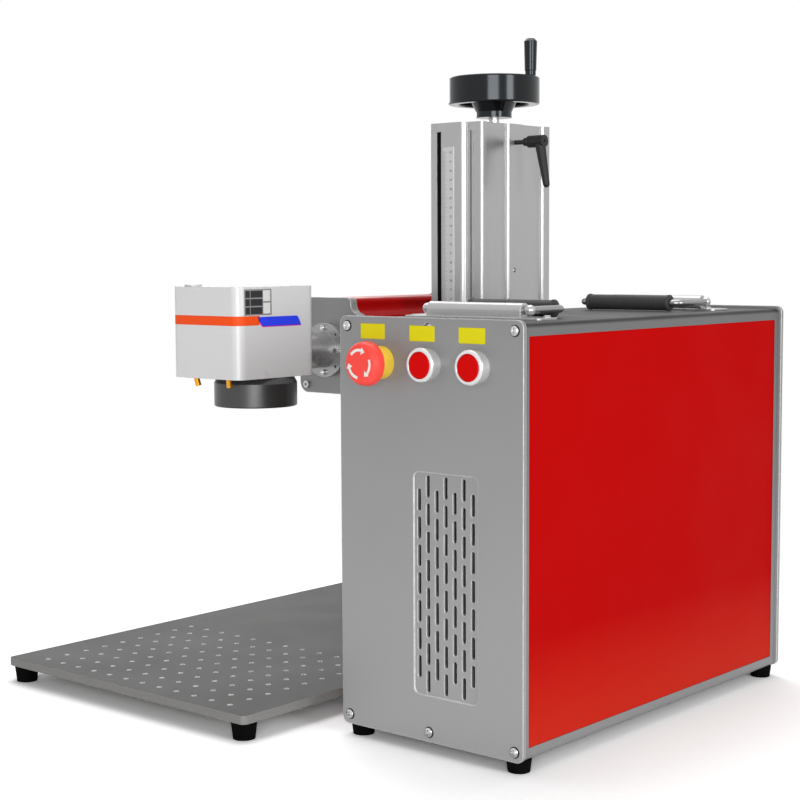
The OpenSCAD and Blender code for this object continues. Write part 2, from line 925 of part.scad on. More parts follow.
module handle_plates() {
    color(bright) {
        translate([cab_cx, front_hinge_y, hinge_z]) handle_plate();
        translate([cab_cx, rear_hinge_y, hinge_z]) mirror([0, 1, 0]) handle_plate();
    }
}

// A quarter bend of the wire, from the x direction to the y direction
module wire_bend(r) {
    rotate_extrude(angle = 90) translate([r, 0]) circle(d = bail_d);
}

// Wire bail in its own plane: the hinge axis is y = 0 and the grip is towards +y
module bail() {
    stub = handle_barrel_l / 2 - bail_turn_r;
    for (s = [0, 1]) mirror([s, 0, 0]) {
        rod_x(bail_side_x - bail_turn_r - stub / 2, 0, 0, stub / 2, bail_d);
        translate([bail_side_x - bail_turn_r, bail_turn_r, 0]) rotate(-90) wire_bend(bail_turn_r);
        rod_y(bail_side_x, bail_turn_r, 0, bail_reach - bail_corner_r - bail_turn_r, bail_d);
        translate([bail_side_x - bail_corner_r, bail_reach - bail_corner_r, 0]) wire_bend(bail_corner_r);
    }
    rod_x(bail_corner_r - bail_side_x, bail_reach, 0, 2 * (bail_side_x - bail_corner_r), bail_d);
}

// Rubber sleeve on the straight part of the bail
module grip_sleeve() {
    difference() {
        rod_x(-handle_grip_l / 2, bail_reach, 0, handle_grip_l, handle_grip_d);
        rod_x(-handle_grip_l / 2 - cut, bail_reach, 0, handle_grip_l + 2 * cut, bail_d + 2 * run);
        for (s = [-1, 1]) translate([s * (handle_grip_l / 2 - 2 * grip_groove_w), bail_reach, 0])
            rotate([0, 90, 0]) difference() {
                cylinder(h = grip_groove_w, d = handle_grip_d + cut, center = true);
                cylinder(h = grip_groove_w + cut, d = handle_grip_d - 2 * grip_groove, center = true);
            }
    }
}

module front_bail() {
    color(steel) translate([cab_cx, front_hinge_y, hinge_z]) bail();
}

module front_grip() {
    color(rubber_black) translate([cab_cx, front_hinge_y, hinge_z]) grip_sleeve();
}

module rear_bail() {
    color(steel) translate([cab_cx, rear_hinge_y, hinge_z]) mirror([0, 1, 0]) bail();
}

module rear_grip() {
    color(rubber_black) translate([cab_cx, rear_hinge_y, hinge_z]) mirror([0, 1, 0]) grip_sleeve();
}

// Folded sheet shelf between the side panels
module equipment_shelf() {
    l = cab_d - shelf_front - shelf_rear;
    color(rail_grey) translate([inner_x0, cab_y0 + shelf_front, shelf_z]) {
        cube([inner_x1 - inner_x0, l, shelf_t]);
        for (x = [0, inner_x1 - inner_x0 - shelf_t]) translate([x, 0, 0]) cube([shelf_t, l, shelf_flange]);
    }
}

module laser_source() {
    fin_pitch = (laser_w - fin_t) / (fin_count - 1);
    color(black) translate([cab_cx - laser_w / 2, cab_y0 + laser_front, cab_z0 + cover_t]) {
        cube([laser_w, laser_l, laser_h - fin_h]);
        for (i = [0 : fin_count - 1]) translate([i * fin_pitch, 0, laser_h - fin_h - cut])
            cube([fin_t, laser_l, fin_h + cut]);
    }
}

module power_supply() {
    color(steel) translate([inner_x0 + shelf_flange, cab_y0 + shelf_front + standoff_in, shelf_z + shelf_t])
        cube([supply_w, supply_l, supply_h]);
}

module control_card() {
    color(card_green) translate([inner_x1 - shelf_flange / 2 - card_w, cab_y0 + shelf_front + standoff_in,
            shelf_z + shelf_t]) {
        translate([0, 0, standoff_h]) cube([card_w, card_l, card_t]);
        for (x = [standoff_in, card_w - standoff_in], y = [standoff_in, card_l - standoff_in])
            translate([x, y, 0]) cylinder(h = standoff_h, d = standoff_d);
        for (y = [card_l / 4, card_l / 2]) translate([(card_w - chip_w) / 2, y, standoff_h + card_t])
            cube([chip_w, chip_w, chip_h]);
    }
}

// Fan frame behind the rear panel, with the pin for the rotor and the wire guard outside
module fan_frame() {
    y0 = cab_y1 - panel_t - fan_t;
    color(black) translate([fan_cx, y0, fan_cz]) rotate([-90, 0, 0]) {
        difference() {
            translate([0, 0, fan_t / 2]) cube([fan_w, fan_w, fan_t], center = true);
            translate([0, 0, -cut]) cylinder(h = fan_t + 2 * cut, d = fan_bore);
            for (x = [-1, 1], y = [-1, 1]) translate([x * fan_pitch / 2, y * fan_pitch / 2, -cut])
                cylinder(h = fan_t + 2 * cut, d = fan_screw_d);
        }
        cylinder(h = fan_floor, d = fan_hub);
        for (a = [0 : 120 : 240]) rotate(a) translate([-fan_strut / 2, 0, 0])
            cube([fan_strut, fan_bore / 2 + cut, fan_strut_t]);
        cylinder(h = fan_t - fan_floor, d = fan_pin_d);
        translate([0, 0, fan_t + panel_t + guard_wire / 2 + run]) fan_guard();
    }
}

// Wire guard in the plane z = 0: two crossed wires, with the rings behind them
module fan_guard() {
    for (a = [45, 135]) rotate([0, 90, a])
        cylinder(h = fan_pitch * sqrt(2), d = guard_wire, center = true);
    translate([0, 0, guard_wire / 2]) for (i = [0 : guard_rings - 1]) rotate_extrude()
        translate([guard_first + i * guard_step, 0]) circle(d = guard_wire);
}

module fan_rotor() {
    y0 = cab_y1 - panel_t - fan_t + fan_floor + gap;
    h = fan_t - 2 * fan_floor;
    color(black) translate([fan_cx, y0, fan_cz]) rotate([-90, 0, 0]) difference() {
        union() {
            cylinder(h = h, d = fan_hub);
            intersection() {
                cylinder(h = h, d = fan_bore - 2 * fan_blade_gap);
                for (i = [0 : fan_blades - 1]) rotate(i * 360 / fan_blades)
                    translate([fan_bore / 4, 0, h / 2]) rotate([fan_blade_pitch, 0, 0])
                        cube([fan_bore / 2, fan_blade_t, h], center = true);
            }
        }
        translate([0, 0, -cut]) cylinder(h = h + 2 * cut, d = fan_pin_d + 2 * run);
    }
}

// Moulded power inlet with its pins and the well for the rocker
module power_inlet() {
    well_w = rocker_w + 2 * gap;
    color(black) translate([inlet_cx, cab_y1, inlet_cz]) difference() {
        union() {
            translate([-inlet_w / 2, 0, -inlet_h / 2]) cube([inlet_w, inlet_t, inlet_h]);
            translate([-inlet_body_w / 2, -inlet_body_l, -inlet_body_h / 2])
                cube([inlet_body_w, inlet_body_l + cut, inlet_body_h]);
        }
        difference() {
            translate([-inlet_body_w / 2 + inlet_pin, inlet_t - inlet_hole_l, -inlet_hole_h / 2])
                cube([inlet_hole_w, inlet_hole_l + cut, inlet_hole_h]);
            for (i = [-1 : 1]) translate([-inlet_body_w / 2 + inlet_pin + inlet_hole_w / 2
                    + i * inlet_hole_w / 4 - inlet_pin / 2, inlet_t - inlet_hole_l - cut, -inlet_pin])
                cube([inlet_pin, inlet_pin_l + cut, 2 * inlet_pin]);
        }
        translate([inlet_body_w / 2 - inlet_pin - well_w, inlet_t - rocker_l, -rocker_h / 2 - gap])
            cube([well_w, rocker_l + cut, rocker_h + 2 * gap]);
        rod_x(inlet_body_w / 2 - inlet_pin * 3 / 2 - well_w - gap, inlet_t - inlet_pin / 2, 0,
            well_w + inlet_pin + 2 * gap, rocker_pin_d + 2 * run);
    }
}

// Rocker on its own pin; the pin's ends turn in the walls of the well
module power_rocker() {
    x0 = inlet_cx + inlet_body_w / 2 - inlet_pin - rocker_w - gap;
    color(red) translate([x0, cab_y1 + inlet_t - inlet_pin / 2, inlet_cz]) {
        rod_x(-gap - inlet_pin / 2, 0, 0, rocker_w + 2 * gap + inlet_pin, rocker_pin_d);
        rotate([rocker_tilt, 0, 0]) translate([0, -inlet_pin, -rocker_h / 2 + inlet_pin / 2])
            cube([rocker_w, inlet_pin + inlet_t, rocker_h - inlet_pin]);
    }
}

// Cable gland without its cable, its seat at y = 0 and its mouth towards +y
module gland() {
    rotate([-90, 0, 0]) difference() {
        union() {
            translate([0, 0, -panel_t - gland_hex_l])
                cylinder(h = panel_t + gland_hex_l + cut, d = gland_thread_d);
            cylinder(h = gland_hex_l, d = gland_hex, $fn = 6);
            translate([0, 0, gland_hex_l]) cylinder(h = gland_l / 2, d = gland_nut_d);
            translate([0, 0, gland_hex_l + gland_l / 2])
                cylinder(h = gland_l / 2, d1 = gland_nut_d, d2 = gland_bore + 2 * inlet_pin);
        }
        translate([0, 0, -panel_t - gland_hex_l - cut])
            cylinder(h = panel_t + 2 * gland_hex_l + gland_l + 2 * cut, d = gland_bore);
    }
}

module cable_gland() {
    color(black) translate([gland_x, cab_y1, gland_z]) gland();
}

function foot_places() = [
    for (x = [table_x0 + foot_in, table_x1 - foot_in])
        for (y = [table_y0 + foot_in, table_y1 - foot_in]) [x, y]
];

module table_plate() {
    color(bright) difference() {
        translate([table_x0, table_y0, table_z0]) linear_extrude(table_t) rounded(table_w, table_d, table_r);
        for (i = [0 : grid_nx - 1], j = [0 : grid_ny - 1])
            translate([table_cx + (i - (grid_nx - 1) / 2) * grid_pitch,
                    table_y0 + grid_front + j * grid_pitch, table_z0 - cut])
                cylinder(h = table_t + 2 * cut, d = grid_hole_d);
        for (p = foot_places()) translate([p[0], p[1], table_z0 - cut])
            cylinder(h = foot_stud_h + gap + cut, d = foot_stud_d + 2 * gap);
    }
}

// Tapered rubber feet, each with a stud that goes up into the plate
module table_feet() {
    color(rubber_black) for (p = foot_places()) translate([p[0], p[1], 0]) {
        cylinder(h = table_foot_h, d1 = table_foot_d - foot_taper, d2 = table_foot_d);
        translate([0, 0, table_foot_h - cut]) cylinder(h = foot_stud_h + cut, d = foot_stud_d);
    }
}

// Joggled bars under the table plate and the cabinet
module tie_bars() {
    x0 = table_x1 - tie_grip;
    x1 = cab_x0 + tie_grip;
    xb = cab_x0 - tie_bend;
    color(rail_grey) for (y = [tie_front, tie_rear]) along_y(cab_y0 + y, tie_w)
        polygon([
            [x0, table_z0], [table_x1 + tie_bend, table_z0], [xb, cab_z0], [x1, cab_z0],
            [x1, cab_z0 - tie_t], [xb - tie_t / 2, cab_z0 - tie_t],
            [table_x1 + tie_bend - tie_t / 2, table_z0 - tie_t], [x0, table_z0 - tie_t]
        ]);
}

// Outline of the column seen from above, its left front corner at the origin
module column_outline() {
    difference() {
        square([col_w, col_d]);
        // step beside the ruler face
        translate([col_front_w, -cut]) square([col_w - col_front_w + cut, col_step + cut]);
        translate([col_front_w, 0]) mirror([0, 1]) corner_cut(col_step);
        // flats between the ridges of the right side
        for (y = [[col_step + col_ridge, (col_d - col_pilaster) / 2],
                [(col_d + col_pilaster) / 2, col_d - col_rear_ridge]])
            translate([col_w - col_flat, y[0]]) square([col_flat + cut, y[1] - y[0]]);
        for (y = [(col_d - col_pilaster) / 2, col_d - col_rear_ridge])
            translate([col_w, y]) mirror([0, 1]) corner_cut(col_flat);
        // round corners
        translate([col_w, col_step]) mirror([0, 1]) corner_cut(col_edge_r);
        translate([col_w, col_d]) corner_cut(col_corner_r);
        translate([0, col_d]) mirror([1, 0]) corner_cut(col_corner_r);
        mirror([1, 0]) mirror([0, 1]) corner_cut(col_corner_r);
    }
}

module column_base() {
    color(rail_grey) difference() {
        union() {
            translate([col_x0 - base_margin, col_y0 - base_margin, table_z1]) linear_extrude(col_base_t)
                rounded(col_w + 2 * base_margin, col_d + 2 * base_margin, col_corner_r);
            translate([screw_x, col_cy, col_z0 - cut]) cylinder(h = bearing_h + cut, d = bearing_d);
        }
        translate([screw_x, col_cy, col_z0 - col_base_t / 2])
            cylinder(h = col_base_t + bearing_h, d = journal_d + 2 * run);
        for (x = [base_screw_in - base_margin, col_w + base_margin - base_screw_in],
                y = [base_screw_in - base_margin, col_d + base_margin - base_screw_in])
            translate([col_x0 + x, col_y0 + y, col_z0 - base_screw_h / 2])
                cylinder(h = base_screw_h, d = base_screw_d);
    }
}

// Extruded body, open on its left side where the slider plate runs
module column_body() {
    color(rail_grey) difference() {
        translate([col_x0, col_y0, col_z0]) linear_extrude(col_l) difference() {
            column_outline();
            translate([-cut, -cut]) square([col_body_x + cut, col_d + 2 * cut]);
            translate([0, col_wall_front])
                square([col_w - col_wall_right, col_d - 2 * col_wall_front]);
            translate([col_groove_x, 0]) square([col_groove_w, col_step + col_groove_d]);
            translate([col_line_x, 0]) square([col_line_w, col_step + col_line_w]);
        }
        rod_x(col_x1 - col_wall_right - cut, col_cy, lever_z, col_wall_right + 2 * cut, clamp_d + 2 * run);
        translate([0, col_y0, col_z0])
            rod_x(col_x1 - col_hole_depth, col_hole_y, col_hole_z, col_hole_depth + cut, col_hole_d);
    }
}

module column_cover() {
    color(rail_grey) translate([col_x0, col_y0, col_z0]) linear_extrude(col_l) intersection() {
        column_outline();
        square([col_cover_t, col_d]);
    }
}

module column_cap() {
    color(rail_grey) difference() {
        translate([col_x0, col_y0, col_z1]) linear_extrude(col_cap_t) column_outline();
        translate([screw_x, col_cy, col_z1 - cut]) cylinder(h = col_cap_t + 2 * cut, d = journal_d + 2 * run);
        translate([screw_x, col_cy, col_top - cap_bearing_h])
            cylinder(h = cap_bearing_h + cut, d = cap_bearing_d);
    }
}

module ruler() {
    color(bright) translate([col_x0 + ruler_x, col_y0 - ruler_t, col_z1 - ruler_drop - ruler_l])
        cube([ruler_w, ruler_t, ruler_l]);
}

module guide_rods() {
    color(bright) for (y = [col_y0 + guide_in, col_y1 - guide_in])
        translate([screw_x, y, col_z0]) cylinder(h = col_l, d = guide_d);
}

// Screw with its journals and the collar that the clamp screw presses on
module lead_screw() {
    z0 = col_z0 + gap;
    z_top = wheel_z0 + hub_bore_depth - gap;
    color(steel) translate([screw_x, col_cy, 0]) {
        translate([0, 0, z0]) cylinder(h = z_top - z0, d = journal_d);
        translate([0, 0, col_z0 + thread_bottom])
            cylinder(h = col_l - thread_bottom - thread_top_drop, d = screw_d);
        translate([0, 0, lever_z - collar_brake_h / 2]) cylinder(h = collar_brake_h, d = collar_brake_d);
    }
}

// Handwheel with a conical hub, three spokes and the spindle of the revolving grip
module handwheel() {
    r = wheel_d / 2;
    color(black) translate([screw_x, col_cy, 0]) {
        difference() {
            union() {
                translate([0, 0, rim_z0]) rotate_extrude()
                    translate([r - rim_w, 0]) rounded(rim_w, rim_h, rim_r);
                translate([0, 0, wheel_z0]) cylinder(h = hub_collar_h, d = hub_d);
                translate([0, 0, wheel_z0 + hub_collar_h])
                    cylinder(h = hub_cone_h, d1 = hub_d, d2 = hub_top_d);
                translate([0, 0, spoke_z0 - cut]) cylinder(h = spoke_t + cut, d = hub_top_d);
                for (i = [0 : spokes - 1]) rotate(grip_turn + i * 360 / spokes)
                    translate([0, -spoke_w / 2, spoke_z0]) cube([r - rim_w / 2, spoke_w, spoke_t]);
            }
            translate([0, 0, wheel_z0 - cut]) cylinder(h = hub_bore_depth + cut, d = journal_d + 2 * run);
        }
        rotate(grip_turn) translate([r - rim_w / 2, 0, rim_z1 - cut])
            cylinder(h = grip_l - grip_dome + cut, d = spindle_d);
    }
}

module wheel_grip() {
    color(black) translate([screw_x, col_cy, rim_z1 + gap]) rotate(grip_turn)
        translate([wheel_d / 2 - rim_w / 2, 0, 0]) difference() {
            union() {
                cylinder(h = grip_neck_h, d = grip_neck_d);
                translate([0, 0, grip_neck_h])
                    cylinder(h = grip_l - grip_neck_h - grip_dome, d1 = grip_d - grip_taper, d2 = grip_d);
                translate([0, 0, grip_l - grip_dome])
                    cylinder(h = grip_dome, d1 = grip_d, d2 = grip_d - 2 * grip_dome);
            }
            translate([0, 0, -cut]) cylinder(h = grip_l - grip_dome + cut, d = spindle_d + 2 * run);
        }
}

// Screw through the column's right wall that presses on the lead screw's collar
module clamp_screw() {
    tip = screw_x + collar_brake_d / 2 + gap;
    color(steel) rod_x(tip, col_cy, lever_z, col_x1 + lever_stud + lever_bore_l - tip, clamp_d);
}

module clamp_lever() {
    x0 = col_x1 + lever_stud;
    arm_x = x0 + lever_hub_l - lever_hub_d / 2;
    arm_l = sqrt(lever_l * lever_l + lever_out * lever_out);
    color(black) difference() {
        union() {
            rod_x(x0 + lever_neck_l, col_cy, lever_z, lever_hub_l - lever_neck_l, lever_hub_d);
            rod_x(x0, col_cy, lever_z, lever_neck_l + cut, lever_neck_d);
            translate([arm_x, col_cy, lever_z]) rotate([0, 180 - atan2(lever_out, lever_l), 0]) {
                cylinder(h = arm_l, d1 = lever_root_d, d2 = lever_tip_d);
                translate([0, 0, arm_l]) sphere(d = lever_tip_d);
            }
        }
        rod_x(x0 - cut, col_cy, lever_z, lever_bore_l + cut + gap, clamp_d + 2 * run);
        rod_x(x0 + lever_hub_l - hex_socket_d, col_cy, lever_z, hex_socket_d + lever_hub_d, lever_socket_d);
    }
}

// Block inside the column, bored for the rods and the nut
module carriage_block() {
    color(steel) difference() {
        translate([col_x0 + block_x0, col_cy - block_l / 2, car_z0]) cube([block_w, block_l, car_h]);
        for (y = [col_y0 + guide_in, col_y1 - guide_in])
            translate([screw_x, y, car_z0 - cut]) cylinder(h = car_h + 2 * cut, d = guide_d + 2 * run);
        translate([screw_x, col_cy, car_z0 - cut]) cylinder(h = car_h + 2 * cut, d = nut_body_d + 2 * run);
    }
}

// Brass nut with a flange under the block
module screw_nut() {
    color(brass) translate([screw_x, col_cy, car_z0]) difference() {
        union() {
            cylinder(h = nut_body_l, d = nut_body_d);
            translate([0, 0, -nut_flange_h]) cylinder(h = nut_flange_h, d = nut_flange_d);
        }
        translate([0, 0, -nut_flange_h - cut])
            cylinder(h = nut_flange_h + nut_body_l + 2 * cut, d = screw_d + 2 * run);
    }
}

// Slider plate through both slots, cheeks round the cover, outer plate and spacer to the arm
module carriage_plate() {
    x1 = col_x0 + block_x0;
    color(steel) {
        translate([x1 - slider_t, cheek_y0, car_z0]) cube([slider_t, cheek_y1 - cheek_y0, car_h]);
        for (y = [cheek_y0, cheek_y1 - cheek_t]) translate([plate_x0, y, car_z0])
            cube([x1 - plate_x0, cheek_t, car_h]);
        translate([plate_x0, cheek_y0, car_z0]) cube([car_plate_t, cheek_y1 - cheek_y0, car_h]);
        translate([arm_right - plate_over, col_y0 + spacer_in, car_zc - spacer_h / 2])
            cube([plate_x0 - arm_right + plate_over, col_d - 2 * spacer_in, spacer_h]);
    }
}

// Cross-section of the arm with stepped upper corners, grown by g; x is across and y is up
module arm_outline(g) {
    w = arm_w / 2 + g;
    top = arm_h + g;
    shoulder = arm_h - arm_step_h + g;
    difference() {
        union() {
            translate([-w, -g]) square([2 * w, shoulder + g]);
            translate([arm_step_w - w, 0]) square([2 * (w - arm_step_w), top]);
            for (s = [0, 1]) mirror([s, 0]) translate([w - arm_step_w, shoulder]) difference() {
                square([arm_fillet_r, arm_fillet_r]);
                translate([arm_fillet_r, arm_fillet_r]) circle(arm_fillet_r);
            }
        }
        for (s = [0, 1]) mirror([s, 0]) {
            translate([w, shoulder]) corner_cut(arm_shoulder_r);
            translate([w - arm_step_w, top]) corner_cut(arm_top_r);
            translate([w, -g]) mirror([0, 1]) corner_cut(arm_corner_r);
        }
    }
}

module arm_housing() {
    wall = arm_wall;
    color(red) translate([beam_x, 0, arm_z0]) along_y(arm_y0 + end_t, arm_l - 2 * end_t) difference() {
        arm_outline(-plate_over);
        translate([arm_step_w + wall - arm_w / 2, wall + arm_corner_r / 2])
            square([arm_w - 2 * arm_step_w - 2 * wall, arm_h - 2 * wall - plate_over - arm_corner_r / 2]);
        translate([wall - arm_w / 2 + plate_over, arm_corner_r])
            square([arm_w - 2 * wall - 2 * plate_over,
                arm_h - arm_step_h - wall - plate_over - arm_corner_r]);
    }
}

module arm_front_plate() {
    color(rail_grey) difference() {
        translate([beam_x, 0, arm_z0]) along_y(arm_y0, end_t) arm_outline(0);
        rod_y(beam_x, arm_y0 - cut, beam_z, end_t + 2 * cut, tube_bore);
    }
}

module arm_rear_plate() {
    color(rail_grey) difference() {
        translate([beam_x, 0, arm_z0]) along_y(arm_y1 - end_t, end_t) arm_outline(0);
        rod_y(beam_x, arm_y1 - end_t - cut, beam_z, end_t + 2 * cut, gland_bore);
    }
    color(black) translate([beam_x, arm_y1, beam_z]) intersection() {
        gland();
        translate([-gland_hex, 0, -gland_hex]) cube([2 * gland_hex, gland_out, 2 * gland_hex]);
    }
}

// Tube from the arm into the head, with its flange
module beam_tube() {
    color(steel) difference() {
        union() {
            rod_y(beam_x, head_y1 - tube_seat, beam_z, tube_seat + tube_free + flange_t, tube_d);
            rod_y(beam_x, flange_y0, beam_z, flange_t, flange_d);
        }
        rod_y(beam_x, head_y1 - tube_seat - cut, beam_z,
            tube_seat + tube_free + flange_t + 2 * cut, tube_bore);
        for (a = [45 : 90 : 315]) translate([beam_x, flange_y0, beam_z]) rotate([0, a, 0])
            rod_y(flange_pcd / 2, -cut, 0, flange_t / 2 + cut, flange_hole_d);
    }
}

// Screws of the arm's end plates, the lower two first
function end_screw_places() = [
    [arm_w / 2 - end_screw_in, end_screw_up], [end_screw_in - arm_w / 2, end_screw_up],
    [end_screw_top_x, arm_h - end_screw_up], [-end_screw_top_x, arm_h - end_screw_up]
];

module arm_screws() {
    color(bright) {
        places = end_screw_places();
        for (i = [0, 1]) translate([beam_x + places[i][0], arm_y0, arm_z0 + places[i][1]])
            rotate([90, 0, 0]) socket_screw(end_screw_d, end_screw_h);
        for (p = places) translate([beam_x + p[0], arm_y1, arm_z0 + p[1]])
            rotate([-90, 0, 0]) socket_screw(end_screw_d, end_screw_h);
        for (a = [0 : 90 : 270]) translate([beam_x, flange_y0, beam_z]) rotate([0, a, 0])
            translate([flange_pcd / 2, 0, 0]) rotate([90, 0, 0])
                socket_screw(flange_screw_d, flange_screw_h);
    }
}

// Collimator of the laser on its foot inside the arm
module collimator() {
    y0 = arm_y0 + end_t;
    foot_h = arm_below - arm_wall - arm_corner_r / 2;
    color(black) difference() {
        union() {
            rod_y(beam_x, y0, beam_z, collimator_l, collimator_d);
            for (y = [y0 + collimator_l / 4, y0 + collimator_l * 3 / 4])
                translate([beam_x - collimator_foot_w / 2, y - collimator_foot / 2, beam_z - foot_h])
                    cube([collimator_foot_w, collimator_foot, foot_h]);
        }
        rod_y(beam_x, y0 - cut, beam_z, collimator_l / 2, tube_bore / 2);
    }
}

module head_housing() {
    color(bright) difference() {
        translate([head_x0, head_y0, head_z0]) linear_extrude(head_h) rounded(head_w, head_d, head_r);
        translate([head_x0 + head_wall, head_y0 + head_wall, head_z0 - cut])
            linear_extrude(head_h - head_wall + cut)
                rounded(head_w - 2 * head_wall, head_d - 2 * head_wall, head_r - head_wall);
        rod_y(beam_x, head_y1 - head_wall - cut, beam_z, head_wall + 2 * cut, tube_d + 2 * gap);
    }
    color(steel) translate([head_x0 + plug_x, head_y0 + plug_y, head_z1]) cylinder(h = plug_h, d = plug_d);
}

// Base plate with the motor block; the beam enters at the rear and leaves downwards
module head_base() {
    x0 = beam_x - chamber_x0;
    x1 = lens_x + chamber_x1;
    roof = beam_z + chamber_top;
    in = head_wall + gap;
    color(rail_grey) difference() {
        union() {
            translate([head_x0 + in, head_y0 + in, head_z0]) linear_extrude(base_plate_t)
                rounded(head_w - 2 * in, head_d - 2 * in, head_r - head_wall);
            translate([x0 - block_wall, lens_y - chamber_y - block_wall, head_z0 + base_plate_t - cut])
                cube([x1 - x0 + 2 * block_wall, head_y1 - in - lens_y + chamber_y + block_wall,
                    roof + motor_block_h - head_z0 - base_plate_t + cut]);
        }
        // chamber of the mirrors
        translate([x0, lens_y - chamber_y, head_z0 + base_plate_t])
            cube([x1 - x0, 2 * chamber_y, roof - head_z0 - base_plate_t]);
        // seat of the lens and the way out
        translate([lens_x, lens_y, head_z0 - cut])
            cylinder(h = lens_seat_h + cut + gap, d = lens_seat_d + 2 * run);
        translate([lens_x, lens_y, head_z0]) cylinder(h = base_plate_t + cut, d = 2 * chamber_y);
        // seat of the tube and the way in
        rod_y(beam_x, head_y1 - tube_seat - gap, beam_z, tube_seat, tube_d + 2 * run);
        rod_y(beam_x, lens_y, beam_z, head_y1 - lens_y, tube_bore / 2);
        // seats of the motors
        translate([beam_x, lens_y, roof - cut]) cylinder(h = motor_block_h + 2 * cut, d = motor_d + 2 * run);
        rod_y(lens_x, lens_y - chamber_y - block_wall - cut, beam_z, block_wall + 2 * cut, motor_d + 2 * run);
        // slanted holes of the pointers
        for (s = [0, 1]) pointer_place(s)
            translate([0, 0, -pointer_l]) cylinder(h = 2 * pointer_l, d = pointer_d + 2 * pointer_clear);
    }
}

// The pointers lean towards the point below the lens
module pointer_place(s) {
    translate([head_x0 + (s == 0 ? pointer_x0 : pointer_x1), head_y0 + pointer_front, head_z0])
        rotate([0, 0, s == 0 ? -pointer_turn : pointer_turn]) rotate([pointer_tilt, 0, 0]) children();
}

module pointers() {
    color(brass) for (s = [0, 1]) pointer_place(s)
        translate([0, 0, -pointer_out]) difference() {
            cylinder(h = pointer_l, d = pointer_d);
            translate([0, 0, -cut]) cylinder(h = pointer_d + cut, d = pointer_d / 2);
        }
}

// Galvanometer motor along +z, its shaft hole at z = 0
module scan_motor() {
    difference() {
        union() {
            cylinder(h = motor_l, d = motor_d);
            translate([0, 0, motor_l - run]) cylinder(h = motor_cap_l, d = motor_cap_d);
        }
        translate([0, 0, -cut]) cylinder(h = mirror_shaft_in + cut + gap, d = mirror_shaft_d + 2 * run);
    }
}

module scan_motors() {
    color(black) {
        translate([beam_x, lens_y, beam_z + chamber_top]) scan_motor();
        translate([lens_x, lens_y - chamber_y, beam_z]) rotate([90, 0, 0]) scan_motor();
    }
}

// Mirror with its clamp and shaft: the shaft points to +z and its motor starts at z = top
module scan_mirror(top, length) {
    difference() {
        cylinder(h = top + mirror_shaft_in, d = mirror_shaft_d);
        translate([0, 0, -cut]) cylinder(h = length / 2 + cut, d = mirror_shaft_d + cut);
    }
    translate([0, 0, length / 2 - cut]) cylinder(h = mirror_hub / 2, d = mirror_hub);
    translate([-mirror_w / 2, -mirror_t / 2, -length / 2]) cube([mirror_w, mirror_t, length]);
}

// First mirror: turns about Z and sends the beam to the right
module mirror_x() {
    color(bright) translate([beam_x, lens_y, beam_z]) rotate(-45) scan_mirror(chamber_top, mirror_l);
}

// Second mirror: turns about Y and sends the beam down
module mirror_y() {
    color(bright) translate([lens_x, lens_y, beam_z]) rotate([90, 0, 0]) rotate(-45)
        scan_mirror(chamber_y, mirror_l);
}

module lens_barrel() {
    r = lens_d / 2;
    bore_z = lens_ring_h + glass_t;
    color(black) translate([lens_x, lens_y, lens_z0]) difference() {
        union() {
            cylinder(h = lens_edge, r1 = r - lens_edge, r2 = r);
            translate([0, 0, lens_edge]) cylinder(h = lens_h - lens_bevel_h - lens_edge, r = r);
            translate([0, 0, lens_h - lens_bevel_h]) cylinder(h = lens_bevel_h, r1 = r, r2 = lens_neck_d / 2);
            translate([0, 0, lens_h - run]) cylinder(h = lens_seat_h + run, d = lens_seat_d);
        }
        translate([0, 0, -cut]) cylinder(h = lens_ring_h + cut, d = lens_bore_d);
        translate([0, 0, lens_ring_h - run]) cylinder(h = glass_t + run, d = lens_bore_d - 2 * glass_rim);
        translate([0, 0, bore_z - run]) cylinder(h = lens_h + lens_seat_h, d = lens_ring_d);
    }
}

module lens_glass() {
    color([0.2, 0.3, 0.35, 0.6]) translate([lens_x, lens_y, lens_z0 + lens_ring_h])
        cylinder(h = glass_t, d = lens_bore_d - 2 * glass_rim - 2 * run);
}

front_panel();
rear_panel();
rails();
corner_posts();
side_panels();
top_cover();
bottom_plate();
panel_screws();
cabinet_feet();
estop_collar();
estop_stem();
estop_head();
button_bezels();
button_cap_middle();
button_cap_right();
handle_plates();
front_bail();
front_grip();
rear_bail();
rear_grip();
equipment_shelf();
laser_source();
power_supply();
control_card();
fan_frame();
fan_rotor();
power_inlet();
power_rocker();
cable_gland();
table_plate();
table_feet();
tie_bars();
column_base();
column_body();
column_cover();
column_cap();
ruler();
guide_rods();
lead_screw();
handwheel();
wheel_grip();
clamp_screw();
clamp_lever();
carriage_block();
carriage_plate();
screw_nut();
arm_housing();
arm_front_plate();
arm_rear_plate();
beam_tube();
arm_screws();
collimator();
head_housing();
head_base();
scan_motors();
mirror_x();
mirror_y();
lens_barrel();
lens_glass();
pointers();
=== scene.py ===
"""Looks of a desktop laser marking machine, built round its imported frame."""

import logging
import math
from dataclasses import dataclass
from enum import Enum
from functools import partial, reduce
from typing import ClassVar, Sequence

import bmesh
import bpy
from bpy.types import Material, Node, NodeOutputs, NodeSocket, NodeTree, Object, Scene
from mathutils import Matrix, Vector


